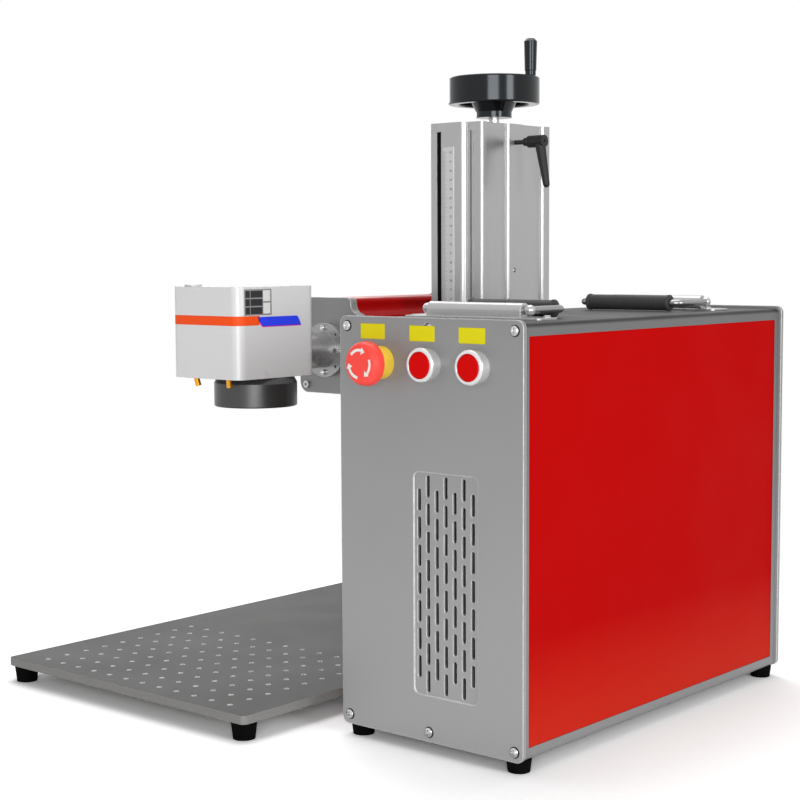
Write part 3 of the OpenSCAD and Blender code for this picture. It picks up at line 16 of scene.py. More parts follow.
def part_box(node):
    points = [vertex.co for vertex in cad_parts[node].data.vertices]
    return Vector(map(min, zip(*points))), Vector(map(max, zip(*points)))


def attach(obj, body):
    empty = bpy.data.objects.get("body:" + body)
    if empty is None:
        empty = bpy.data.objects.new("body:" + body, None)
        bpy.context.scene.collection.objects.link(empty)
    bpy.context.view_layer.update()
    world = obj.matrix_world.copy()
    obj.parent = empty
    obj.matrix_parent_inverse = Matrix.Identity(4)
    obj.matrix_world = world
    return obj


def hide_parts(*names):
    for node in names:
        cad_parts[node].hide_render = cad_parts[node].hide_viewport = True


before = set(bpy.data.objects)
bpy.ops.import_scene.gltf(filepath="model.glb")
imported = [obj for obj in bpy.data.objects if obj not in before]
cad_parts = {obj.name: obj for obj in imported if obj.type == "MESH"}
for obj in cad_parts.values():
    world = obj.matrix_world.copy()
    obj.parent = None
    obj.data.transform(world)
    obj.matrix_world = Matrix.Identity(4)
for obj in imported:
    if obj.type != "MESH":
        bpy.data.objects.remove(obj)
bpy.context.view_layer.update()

LOG = logging.getLogger("marking_machine")
MM = 0.001

Colour = tuple[float, float, float]
Point = tuple[float, float, float]
Flat = tuple[float, float]
Value = float | Sequence[float] | NodeSocket

X_AXIS: Point = (1.0, 0.0, 0.0)
Y_AXIS: Point = (0.0, 1.0, 0.0)
WHITE = (1.0, 1.0, 1.0, 1.0)


class Grain(Enum):
    """How the surface of a finish is worked."""

    EVEN = "even in all directions"
    BRUSHED_X = "brushed along X"
    BRUSHED_Y = "brushed along Y"
    BRUSHED_Z = "brushed along Z"
    HAMMERED = "hammered"


EVEN_STRETCH: Point = (1.0, 1.0, 1.0)
GRAIN_STRETCH: dict[Grain, Point] = {
    Grain.BRUSHED_X: (0.02, 1.0, 1.0),
    Grain.BRUSHED_Y: (1.0, 0.02, 1.0),
    Grain.BRUSHED_Z: (1.0, 1.0, 0.02),
}


class Nodes:
    """Adds nodes to one tree and links them by what their sockets are given."""

    def __init__(self, tree: NodeTree) -> None:
        """Keeps the tree that the nodes go into."""
        self.tree = tree

    def add(self, kind: str, inputs: dict[str | int, Value] | None = None,
            **settings: str | bool | NodeTree | int) -> Node:
        """Adds one node.

        Args:
            kind: Blender's type name of the node, without ShaderNode.
            inputs: for each input, by name or number, a value or a socket to link from.
            settings: the node's own settings.

        Returns:
            The new node.
        """
        node = self.tree.nodes.new("ShaderNode" + kind)
        for name, value in settings.items():
            setattr(node, name, value)
        for key, value in (inputs or {}).items():
            if isinstance(value, NodeSocket):
                self.tree.links.new(value, node.inputs[key])
            else:
                node.inputs[key].default_value = value
        return node

    def math(self, operation: str, *values: Value, clamp: bool = False) -> NodeSocket:
        """Returns the result of a sum, kept between 0 and 1 where clamp is set."""
        return self.add("Math", dict(enumerate(values)), operation=operation,
                        use_clamp=clamp).outputs[0]

    def blend(self, share: Value, low: Value, high: Value) -> NodeSocket:
        """Mixes two colours, where a share of 0 gives the low one and 1 the high one."""
        return self.add("Mix", {0: share, 6: low, 7: high}, data_type="RGBA").outputs[2]

    def ramp(self, value: NodeSocket, start: Flat, end: Sequence[Value],
             kind: str = "LINEAR") -> NodeSocket:
        """Moves a value from the start range into the end range and keeps it there."""
        return self.add("MapRange", {
            "Value": value, "From Min": start[0], "From Max": start[1], "To Min": end[0],
            "To Max": end[1]}, interpolation_type=kind).outputs[0]

    def place(self) -> NodeSocket:
        """Returns the shaded point's place in the object."""
        return self.add("TexCoord").outputs["Object"]

    def noise(self, scale: float, detail: float) -> NodeSocket:
        """Returns even noise over the object."""
        return self.add("TexNoise", {
            "Vector": self.place(), "Scale": scale, "Detail": detail}).outputs["Fac"]

    def height(self, vector: NodeSocket) -> NodeSocket:
        """Returns the Z of a vector."""
        return self.add("SeparateXYZ", {0: vector}).outputs[2]

    def rays(self, *kinds: str) -> NodeSocket:
        """Returns 1 for a ray of one of the kinds and 0 for any other."""
        path = self.add("LightPath").outputs
        return reduce(partial(self.math, "MAXIMUM"), (path[f"Is {kind} Ray"] for kind in kinds))

    def upward(self) -> NodeSocket:
        """Returns how far the face looks up, from -1 to 1."""
        return self.height(self.add("NewGeometry").outputs["Normal"])


class Effects:
    """Shader node groups that several finishes share, each built once."""

    # unevenness of the edge mask, which carries real wear and painted edge light
    edge_wear_light_contrast: ClassVar[float] = 1.2
    edge_wear_light_level: ClassVar[float] = 0.3
    dust_falloff: ClassVar[float] = 4.0

    def __init__(self) -> None:
        """Builds the groups."""
        self.grain = self._grain()
        self.wear_and_edge_light = self._wear_and_edge_light()
        self.softened = self._softened()
        self.dust = self._dust()
        self.smudges = self._smudges()

    @staticmethod
    def _start(name: str, inputs: dict[str, Value], output: str, kind: str = "Float"
               ) -> tuple[Nodes, NodeOutputs, NodeSocket]:
        """Makes an empty group and returns its helper, its inputs and its one output."""
        group = bpy.data.node_groups.new(name, "ShaderNodeTree")
        for label, value in inputs.items():
            shape = "Float" if isinstance(value, float) else "Vector"
            socket = group.interface.new_socket(label, in_out="INPUT",
                                                socket_type="NodeSocket" + shape)
            socket.default_value = value
        group.interface.new_socket(output, in_out="OUTPUT", socket_type="NodeSocket" + kind)
        inside, outside = (group.nodes.new("NodeGroup" + end) for end in ("Input", "Output"))
        return Nodes(group), inside.outputs, outside.inputs[output]

    def _grain(self) -> NodeTree:
        """Fine noise, stretched along one axis where the metal is brushed."""
        nodes, inside, out = self._start(
            "surface grain", {"Scale": 900.0, "Stretch": EVEN_STRETCH, "Cells": 0.0}, "Mask")
        place = nodes.add("Mapping", {"Vector": nodes.place(), "Scale": inside["Stretch"]})
        spread = {"Vector": place.outputs[0], "Scale": inside["Scale"]}
        noise = nodes.add("TexNoise", {**spread, "Detail": 3.0})
        cells = nodes.add("TexVoronoi", spread, feature="SMOOTH_F1")
        mixed = nodes.add("Mix", {0: inside["Cells"], 2: noise.outputs["Fac"],
                                  3: cells.outputs["Distance"]})
        nodes.tree.links.new(mixed.outputs[0], out)
        return nodes.tree

    def _wear_and_edge_light(self) -> NodeTree:
        """Mask of the outer edges, broken up by noise, where the colour takes real wear and a
        painted edge highlight or painted edge shade.
        """
        nodes, inside, out = self._start("worn edges and painted edge light", {"Radius": 0.0008, "Strength": 1.0}, "Mask")
        bevel = nodes.add("Bevel", {"Radius": inside["Radius"]}, samples=4)
        surface = nodes.add("NewGeometry")
        cosine = nodes.add("VectorMath", {0: bevel.outputs[0], 1: surface.outputs["Normal"]},
                           operation="DOT_PRODUCT")
        bend = nodes.math("SUBTRACT", 1.0, cosine.outputs["Value"])
        uneven = nodes.math("MULTIPLY_ADD", nodes.noise(scale=260.0, detail=2.0),
                            self.edge_wear_light_contrast, self.edge_wear_light_level)
        strong = nodes.math("MULTIPLY", bend, inside["Strength"])
        nodes.tree.links.new(nodes.math("MULTIPLY", strong, uneven, clamp=True), out)
        return nodes.tree

    def _softened(self) -> NodeTree:
        """Normal of a surface whose edges are broken by a small radius."""
        nodes, inside, out = self._start("softened edges", {"Radius": 0.0008}, "Normal", "Vector")
        bevel = nodes.add("Bevel", {"Radius": inside["Radius"]}, samples=6)
        nodes.tree.links.new(bevel.outputs[0], out)
        return nodes.tree

    def _dust(self) -> NodeTree:
        """Mask of the surfaces that face up, where dust settles unevenly."""
        nodes, inside, out = self._start("settled dust", {"Amount": 0.3}, "Mask")
        upward = nodes.math("POWER", nodes.math("MAXIMUM", nodes.upward(), 0.0), self.dust_falloff)
        patchy = nodes.math("MULTIPLY", upward, nodes.noise(scale=45.0, detail=6.0))
        nodes.tree.links.new(nodes.math("MULTIPLY", patchy, inside["Amount"], clamp=True), out)
        return nodes.tree

    def _smudges(self) -> NodeTree:
        """Slow variation of roughness from handling."""
        nodes, inside, out = self._start("smudges", {"Low": 0.3, "High": 0.4}, "Roughness")
        spread = nodes.ramp(nodes.noise(scale=14.0, detail=4.0), start=(0.3, 0.7),
                            end=(inside["Low"], inside["High"]))
        nodes.tree.links.new(spread, out)
        return nodes.tree


DUST_COLOUR = (0.55, 0.53, 0.5, 1.0)
SPILL_COLOUR = (0.22, 0.2, 0.19, 1.0)
# how far a face must look up to take the painted top shade
TOP_SHADE_BEND: Flat = (0.05, 0.7)


@dataclass(frozen=True)
class Finish:
    """One finish and how to build its material.

    Lengths are metres, but grain_depth is millimetres. A tone is a factor on the colour. On the
    edges it colours real wear together with a painted highlight, or painted shade where it is below
    1; on faces that look up it paints shade. The floor sheen is a painted reflection of the pale
    floor, added to the colour where the coat meets the ground.
    """

    name: str
    colour: Colour
    metallic: float = 0.0
    roughness: float = 0.45
    roughness_spread: float = 0.06
    grain: Grain = Grain.EVEN
    grain_scale: float = 1500.0
    grain_tone: float = 0.03
    grain_depth: float = 0.05
    edge_radius: float = 0.0008
    # edges: real wear with a painted highlight above 1, painted edge shade below 1
    edge_wear_and_light_tone: float = 1.0
    edge_strength: float = 1.2
    # painted shade: factor on the colour of faces that look up
    top_shade: float = 1.0
    # painted reflection of the pale floor, added up to this height above the ground
    floor_sheen: Colour = (0.0, 0.0, 0.0)
    floor_sheen_height: float = 0.4
    dust: float = 0.0
    specular: float = 0.5
    specular_tint: Colour = (1.0, 1.0, 1.0)
    transmission: float = 0.0
    ior: float = 1.5
    spill: float = 1.0

    def build(self, effects: Effects) -> Material:
        """Builds the material.

        Args:
            effects: the shared node groups.

        Returns:
            The material.
        """
        material = bpy.data.materials.new(self.name)
        material.use_nodes = True
        material.diffuse_color = self._toned(1.0)
        material.node_tree.nodes.clear()
        nodes = Nodes(material.node_tree)
        pattern = {"Scale": self.grain_scale, "Cells": float(self.grain is Grain.HAMMERED),
                   "Stretch": GRAIN_STRETCH.get(self.grain, EVEN_STRETCH)}
        grain = nodes.add("Group", pattern, node_tree=effects.grain).outputs["Mask"]
        softened = nodes.add("Group", {"Radius": self.edge_radius}, node_tree=effects.softened)
        bump = nodes.add("Bump", {
            "Strength": 1.0, "Distance": self.grain_depth * MM, "Height": grain,
            "Normal": softened.outputs["Normal"]})
        smudges = nodes.add("Group", {
            "Low": self.roughness - self.roughness_spread,
            "High": self.roughness + self.roughness_spread}, node_tree=effects.smudges)
        shader = nodes.add("BsdfPrincipled", {
            "Base Color": self._colour(nodes, effects, grain), "Metallic": self.metallic,
            "Roughness": smudges.outputs["Roughness"], "IOR": self.ior,
            "Normal": bump.outputs[0], "Specular IOR Level": self.specular,
            "Specular Tint": (*self.specular_tint, 1.0),
            "Transmission Weight": self.transmission})
        nodes.add("OutputMaterial", {"Surface": shader.outputs[0]})
        return material

    def _colour(self, nodes: Nodes, effects: Effects, grain: NodeSocket) -> NodeSocket:
        """Builds the colour out of its layers, painted shade and highlights among them.

        Args:
            nodes: the material's node helper.
            effects: the shared node groups.
            grain: the mask of the grain.

        Returns:
            The finished colour.
        """
        colour = self._grained(nodes, grain, 1.0)
        # Painted shade: faces that look up get a darker copy of the colour.
        if self.top_shade != 1.0:
            upward = nodes.ramp(nodes.upward(), TOP_SHADE_BEND, (0.0, 1.0), "SMOOTHSTEP")
            colour = nodes.blend(upward, colour, self._grained(nodes, grain, self.top_shade))
        # Painted edge light: a highlight on the edges, or shade below a tone of 1, over real wear.
        wear_and_edge_light = nodes.add("Group", {
            "Radius": self.edge_radius, "Strength": self.edge_strength}, node_tree=effects.wear_and_edge_light)
        colour = nodes.blend(wear_and_edge_light.outputs["Mask"], colour, self._toned(self.edge_wear_and_light_tone))
        # Painted reflection of the pale floor, fading out with height.
        if any(self.floor_sheen):
            colour = self._add_floor_sheen(nodes, colour)
        if self.dust > 0.0:
            dust = nodes.add("Group", {"Amount": self.dust}, node_tree=effects.dust)
            colour = nodes.blend(dust.outputs["Mask"], colour, DUST_COLOUR)
        if self.spill != 1.0:
            colour = self._held_back(nodes, colour)
        return colour

    def _toned(self, factor: float) -> tuple[float, float, float, float]:
        """Returns the colour times a factor, with its alpha."""
        red, green, blue = (min(channel * factor, 1.0) for channel in self.colour)
        return (red, green, blue, 1.0)

    def _grained(self, nodes: Nodes, grain: NodeSocket, tone: float) -> NodeSocket:
        """Returns the colour at a tone, uneven by the grain."""
        return nodes.blend(grain, self._toned(tone * (1.0 - self.grain_tone)),
                           self._toned(tone * (1.0 + self.grain_tone)))

    def _add_floor_sheen(self, nodes: Nodes, colour: NodeSocket) -> NodeSocket:
        """Adds a painted sheen close to the ground: a painted reflection of the pale floor."""
        share = nodes.ramp(nodes.height(nodes.place()), (0.0, self.floor_sheen_height), (1.0, 0.0))
        light = nodes.add("VectorMath", {0: self.floor_sheen, "Scale": share}, operation="SCALE")
        lit = nodes.add("VectorMath", {0: colour, 1: light.outputs[0]}, operation="ADD")
        limited = nodes.add("VectorMath", {0: lit.outputs[0], 1: WHITE[:3]}, operation="MINIMUM")
        return limited.outputs[0]

    def _held_back(self, nodes: Nodes, colour: NodeSocket) -> NodeSocket:
        """Greys the colour for bounced light, so that less of it spills on what stands near."""
        share = nodes.math("MULTIPLY", nodes.rays("Diffuse", "Glossy"), 1.0 - self.spill)
        return nodes.blend(share, colour, SPILL_COLOUR)


# The edge tones paint highlights on the edges (shade where below 1), the top tones paint shade on
# faces that look up, and the floor sheen paints a reflection of the pale floor.
PANEL = Finish(
    "anodised panel", (0.26, 0.26, 0.262), metallic=0.42, roughness=0.46, grain_scale=2600.0,
    grain_tone=0.14, edge_radius=0.0016, edge_wear_and_light_tone=3.6, edge_strength=2.6,
    floor_sheen=(0.143, 0.143, 0.144), dust=0.05, specular=0.3)
COVER = Finish(
    "dark top cover", (0.16, 0.16, 0.162), metallic=0.15, roughness=0.5, grain_scale=2600.0,
    grain_tone=0.08, edge_wear_and_light_tone=1.6, top_shade=0.42, specular=0.12)
RAIL = Finish(
    "rail alloy", (0.155, 0.155, 0.157), metallic=0.3, grain=Grain.BRUSHED_Y, grain_tone=0.08,
    edge_wear_and_light_tone=1.8, top_shade=0.16, floor_sheen=(0.155, 0.155, 0.157), specular=0.12)
SIDE = Finish(
    "red side coat", (0.47, 0.001, 0.001), roughness=0.5, grain_scale=3000.0, grain_tone=0.05,
    grain_depth=0.02, edge_wear_and_light_tone=1.1, floor_sheen=(0.15, 0.028, 0.013), floor_sheen_height=0.115,
    specular=0.03, specular_tint=(1.0, 0.35, 0.3), spill=0.15)
ARM_COAT = Finish(
    "red arm coat", (0.34, 0.001, 0.001), roughness=0.3, grain_scale=1200.0, grain_tone=0.04,
    grain_depth=0.01, edge_wear_and_light_tone=1.6, specular=0.06, specular_tint=(1.0, 0.35, 0.3), spill=0.4)
COLUMN = Finish(
    "column alloy", (0.42, 0.42, 0.422), metallic=0.7, roughness=0.3, roughness_spread=0.02,
    grain=Grain.BRUSHED_Z, grain_tone=0.05, grain_depth=0.002, edge_radius=0.0003, edge_wear_and_light_tone=1.2,
    edge_strength=0.5, specular=0.3)
TABLE = Finish(
    "brushed table", (0.24, 0.236, 0.228), metallic=0.12, roughness_spread=0.02,
    grain=Grain.BRUSHED_X, grain_scale=1400.0, grain_tone=0.14, edge_wear_and_light_tone=2.2, edge_strength=2.0,
    top_shade=0.1, specular=0.1)
HEAD = Finish(
    "silver head coat", (0.73, 0.73, 0.732), metallic=0.05, roughness=0.32, grain_scale=2200.0,
    grain_tone=0.04, grain_depth=0.02, edge_radius=0.0006, edge_wear_and_light_tone=0.45, edge_strength=3.0,
    top_shade=0.3, specular=0.4)
ARM_PLATE = Finish(
    "arm plate alloy", (0.27, 0.27, 0.272), metallic=0.5, roughness=0.4, grain_scale=2200.0,
    grain_tone=0.12, edge_radius=0.0012, edge_wear_and_light_tone=4.0, edge_strength=2.5, specular=0.2)
TUBE = Finish(
    "turned tube alloy", (0.38, 0.38, 0.382), metallic=0.6, roughness=0.28, grain=Grain.BRUSHED_X,
    grain_tone=0.1, edge_wear_and_light_tone=3.0, specular=0.3)
BLACK_SATIN = Finish(
    "black satin metal", (0.078, 0.078, 0.079), metallic=0.7, roughness=0.36, grain_scale=1800.0,
    grain_tone=0.15, edge_wear_and_light_tone=2.5, specular=0.3)
BLACK_GLOSS = Finish(
    "black gloss moulding", (0.003, 0.003, 0.0035), roughness=0.14, roughness_spread=0.03,
    grain_tone=0.05, grain_depth=0.005, edge_wear_and_light_tone=2.0, specular=0.34,
    specular_tint=(0.86, 0.93, 1.0))
LEVER = Finish(
    "black cast lever", (0.022, 0.022, 0.023), metallic=0.2, roughness=0.42, grain_tone=0.2,
    edge_wear_and_light_tone=3.0, specular=0.25)
FOOT = Finish(
    "black foot rubber", (0.003, 0.003, 0.003), roughness=0.8, grain_scale=1800.0, grain_tone=0.25,
    edge_wear_and_light_tone=1.5, specular=0.03)
GRIP = Finish(
    "grip rubber", (0.044, 0.044, 0.044), roughness=0.5, grain_scale=1800.0, grain_tone=0.25,
    grain_depth=0.06, edge_wear_and_light_tone=1.6, specular=0.2)
HANDLE = Finish(
    "rolled handle steel", (0.30, 0.30, 0.302), metallic=0.9, roughness=0.26, grain=Grain.BRUSHED_X,
    grain_scale=900.0, grain_tone=0.1, grain_depth=0.01, edge_wear_and_light_tone=1.8)
HANDLE_PLATE = Finish(
    "handle plate steel", (0.48, 0.48, 0.482), metallic=0.7, roughness=0.28, grain_tone=0.05,
    grain_depth=0.01, edge_wear_and_light_tone=1.3)
BEZEL = Finish(
    "bright bezel", (0.74, 0.74, 0.75), metallic=0.6, roughness=0.2, grain_tone=0.02,
    grain_depth=0.002, edge_wear_and_light_tone=1.2)
CHROME = Finish(
    "bright screw steel", (0.55, 0.55, 0.552), metallic=1.0, roughness=0.2, grain_tone=0.06,
    grain_depth=0.01, edge_wear_and_light_tone=1.5)
BUSH = Finish(
    "bright hole bush", (0.54, 0.54, 0.54), metallic=0.5, roughness=0.3, grain_tone=0.04,
    grain_depth=0.01, edge_wear_and_light_tone=1.2)
STEEL = Finish(
    "bright steel", (0.50, 0.50, 0.51), metallic=1.0, roughness=0.3, grain_tone=0.08, edge_wear_and_light_tone=1.6)
RED_PLASTIC = Finish(
    "red switch plastic", (0.62, 0.003, 0.003), roughness=0.35, grain_depth=0.01, edge_wear_and_light_tone=1.2,
    specular=0.06, specular_tint=(1.0, 0.5, 0.5))
RED_HEAD = Finish(
    "emergency stop red", (0.94, 0.075, 0.06), roughness=0.4, grain_depth=0.01, edge_wear_and_light_tone=1.1,
    specular=0.25, specular_tint=(1.0, 0.7, 0.7))
YELLOW = Finish(
    "yellow plastic", (1.0, 0.66, 0.06), roughness=0.38, grain_tone=0.04, grain_depth=0.01,
    edge_wear_and_light_tone=1.1, specular=0.25)
STICKER = Finish(
    "yellow sticker", (0.72, 0.64, 0.005), grain_scale=700.0, grain_tone=0.05, grain_depth=0.01,
    specular=0.2)
BRASS = Finish(
    "brass tube", (0.85, 0.38, 0.02), metallic=0.8, roughness=0.25, grain_tone=0.08, edge_wear_and_light_tone=1.6)
ORANGE = Finish("orange stripe", (1.0, 0.09, 0.012), roughness=0.4, grain_depth=0.01, specular=0.15)
BLUE = Finish("blue tag", (0.03, 0.06, 0.92), roughness=0.35, grain_depth=0.01, specular=0.15)
MAGENTA = Finish("magenta rim", (0.80, 0.02, 0.45), roughness=0.35, grain_depth=0.01, specular=0.15)
PLATE_SILVER = Finish(
    "plate silver", (0.32, 0.32, 0.325), metallic=0.4, roughness=0.4, grain_tone=0.05,
    edge_wear_and_light_tone=1.1)
PLATE_DARK = Finish(
    "plate dark print", (0.035, 0.035, 0.04), grain_tone=0.1, edge_wear_and_light_tone=1.1, specular=0.15)
PLATE_LIGHT = Finish("plate light print", (0.78, 0.78, 0.78), specular=0.2)
WHITE_PRINT = Finish("white print", (0.84, 0.83, 0.78), roughness=0.5, specular=0.2)
BLACK_PRINT = Finish(
    "black print", (0.03, 0.03, 0.03), roughness=0.5, grain_tone=0.1, specular=0.15)
RULER = Finish(
    "ruler steel", (0.60, 0.60, 0.602), metallic=0.4, roughness=0.36, grain=Grain.BRUSHED_Z,
    grain_tone=0.05, grain_depth=0.01, edge_wear_and_light_tone=1.2, specular=0.3)
GLASS = Finish(
    "coated lens glass", (0.75, 0.9, 0.85), roughness=0.03, roughness_spread=0.01, grain_tone=0.02,
    grain_depth=0.002, transmission=1.0, ior=1.6)
MIRROR = Finish(
    "coated mirror", (0.88, 0.86, 0.8), metallic=1.0, roughness=0.04, roughness_spread=0.01,
    grain_tone=0.02, grain_depth=0.001)
FILTER = Finish(
    "filter foam", (0.014, 0.014, 0.0145), roughness=0.85, grain=Grain.HAMMERED, grain_scale=420.0,
    grain_tone=0.4, grain_depth=0.2, specular=0.05)
CARD = Finish(
    "green circuit card", (0.01, 0.14, 0.05), roughness=0.35, grain_scale=600.0, grain_tone=0.3,
    edge_wear_and_light_tone=1.2, specular=0.3)
DARK_PLASTIC = Finish(
    "black moulded plastic", (0.014, 0.014, 0.015), grain_tone=0.2, grain_depth=0.06, edge_wear_and_light_tone=2.0,
    specular=0.25)


class FinishStore:
    """Builds each finish once and hands out its material."""

    def __init__(self) -> None:
        """Builds the shared groups."""
        self.effects = Effects()
        self.built: dict[str, Material] = {}

    def material(self, finish: Finish) -> Material:
        """Returns the material of a finish, built at the first call."""
        if finish.name not in self.built:
            self.built[finish.name] = finish.build(self.effects)
        return self.built[finish.name]


class Mesh:
    """Gathers the faces of one piece."""

    def __init__(self) -> None:
        """Starts with no faces."""
        self.work = bmesh.new()

    def plate(self, outline: Sequence[Flat], origin: Point, across: Point,
              thickness: float) -> None:
        """Adds an upright flat plate with the outline given in its own plane.

        Args:
            outline: points of the outline, in metres.
            origin: where the outline's origin lies.
            across: unit vector of the outline's first axis, where the second one is Z.
            thickness: how far the plate stands out along across x Z.
        """
        start, x_axis, y_axis = Vector(origin), Vector(across), Vector((0.0, 0.0, 1.0))
        outward = x_axis.cross(y_axis) * thickness
        low = [self.work.verts.new(start + x_axis * u + y_axis * v) for u, v in outline]
        high = [self.work.verts.new(vert.co + outward) for vert in low]
        self.skin([low, high], True)

    def revolve(self, profile: Sequence[Flat], place: Matrix, sides: int = 64,
                closed: bool = False) -> None:
        """Adds a turned shape.

        Args:
            profile: radius and height of each point, from one end to the other.
            place: the matrix from the turned shape's own frame, with Z as its axis.
            sides: how many sides it gets.
            closed: whether the last point joins the first.
        """
        rings = []
        for radius, height in profile:
            ring = arc(radius, 0.0, 360.0, steps=sides)[:-1]
            rings.append([self.work.verts.new(place @ Vector((x, y, height))) for x, y in ring])
        self.skin(rings + rings[:1] if closed else rings, not closed)

    def skin(self, rings: Sequence[Sequence[bmesh.types.BMVert]], ends: bool) -> None:
        """Joins closed rings of the same length with faces, and fills the outer two for ends."""
        for low, high in zip(rings, rings[1:]):
            count = len(low)
            for i in range(count):
                j = (i + 1) % count
                self.work.faces.new((low[i], low[j], high[j], high[i]))
        if ends:
            self.work.faces.new(list(reversed(rings[0])))
            self.work.faces.new(rings[-1])

    def text(self, words: str, size: float, place: Matrix, depth: float) -> None:
        """Adds plain raised figures.

        Args:
            words: the figures.
            size: their height.
            place: the matrix from the figures' own plane, centred on their middle.
            depth: how far they stand out.
        """
        curve = bpy.data.curves.new("figures", "FONT")
        curve.body = words
        curve.size = size
        curve.extrude = depth / 2
        curve.resolution_u = 2
        curve.align_x = curve.align_y = "CENTER"
        carrier = bpy.data.objects.new("figures", curve)
        bpy.context.scene.collection.objects.link(carrier)
        bpy.context.view_layer.update()
        shape = bpy.data.meshes.new_from_object(
            carrier.evaluated_get(bpy.context.evaluated_depsgraph_get()))
        shape.transform(place)
        self.work.from_mesh(shape)
        bpy.data.objects.remove(carrier)
        bpy.data.curves.remove(curve)
        bpy.data.meshes.remove(shape)


def on_circle(radius: float, angle: float) -> Flat:
    """Point of a circle about the origin, at an angle in degrees."""
    return (radius * math.cos(math.radians(angle)), radius * math.sin(math.radians(angle)))


def arc(radius: float, start: float, sweep: float, steps: int) -> list[Flat]:
    """Points of an arc about the origin, with its start and sweep in degrees."""
    return [on_circle(radius, start + sweep * step / steps) for step in range(steps + 1)]


def rectangle(width: float, height: float) -> list[Flat]:
    """Outline of a rectangle from its lower left corner, anticlockwise."""
    return [(0.0, 0.0), (width, 0.0), (width, height), (0.0, height)]


def rounded_outline(width: float, height: float, radius: float) -> list[Flat]:
    """Outline of a rectangle with round corners, its middle at the origin."""
    points = []
    for corner, (side, end) in enumerate(((1, 1), (-1, 1), (-1, -1), (1, -1))):
        x, y = side * (width / 2 - radius), end * (height / 2 - radius)
        points += [(x + u, y + v) for u, v in arc(radius, 90.0 * corner, 90.0, steps=6)]
    return points


def quarter_turned(place: Point, axis: str) -> Matrix:
    """Matrix that turns by 90 degrees about an axis and then moves to a place."""
    return Matrix.Translation(place) @ Matrix.Rotation(math.pi / 2, 4, axis)


def node_box(name: str) -> tuple[Vector, Vector]:
    """Lowest and highest corner of a node at rest."""
    low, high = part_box(name)
    return Vector(low), Vector(high)


def island_boxes(name: str) -> list[tuple[Vector, Vector]]:
    """Lowest and highest corner of each separate solid of a node.

    Args:
        name: the node.

    Returns:
        The boxes, from left to right.
    """
    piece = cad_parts[name]
    work = bmesh.new()
    work.from_mesh(piece.data)
    bmesh.ops.remove_doubles(work, verts=work.verts, dist=0.001 * MM)
    left = set(work.verts)
    boxes = []
    while left:
        waiting = [left.pop()]
        points = []
        while waiting:
            vert = waiting.pop()
            points.append(piece.matrix_world @ vert.co)
            for edge in vert.link_edges:
                other = edge.other_vert(vert)
                if other in left:
                    left.remove(other)
                    waiting.append(other)
        boxes.append((Vector(map(min, zip(*points))), Vector(map(max, zip(*points)))))
    work.free()
    return sorted(boxes, key=lambda box: tuple(box[0]))


@dataclass
class Assembly:
    """One part of the machine: finishes for its nodes, and pieces of its own."""

    coats: ClassVar[dict[Finish, str]] = {}

    store: FinishStore

    def dress(self) -> None:
        """Gives the part's nodes their finishes."""
        for finish, names in self.coats.items():
            material = self.store.material(finish)
            for piece in (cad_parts[name] for name in names.split()):
                if not piece.material_slots:
                    piece.data.materials.append(material)
                for place in piece.material_slots:
                    place.material = material

    def build(self) -> None:
        """Builds the part's own pieces, none for some parts."""

    def make(self, mesh: Mesh, name: str, finish: Finish, body: str, slot: str,
             smooth_angle: float = 35.0) -> Object:
        """Turns gathered faces into a piece and lets it ride.

        Args:
            mesh: the faces, which are used up.
            name: name of the piece.
            finish: its finish.
            body: the body that it rides on.
            slot: the record's material slot; not used.
            smooth_angle: edges that bend more than this, in degrees, stay sharp.

        Returns:
            The piece.
        """
        bmesh.ops.recalc_face_normals(mesh.work, faces=mesh.work.faces)
        for face in mesh.work.faces:
            face.smooth = True
        for edge in mesh.work.edges:
            if len(edge.link_faces) == 2 and edge.calc_face_angle() > math.radians(smooth_angle):
                edge.smooth = False
        data = bpy.data.meshes.new(name)
        mesh.work.to_mesh(data)
        mesh.work.free()
        data.materials.append(self.store.material(finish))
        piece = bpy.data.objects.new(name, data)
        bpy.context.scene.collection.objects.link(piece)
        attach(piece, body)
        LOG.info("%s rides on %s with %d faces", name, body, len(data.polygons))
        return piece


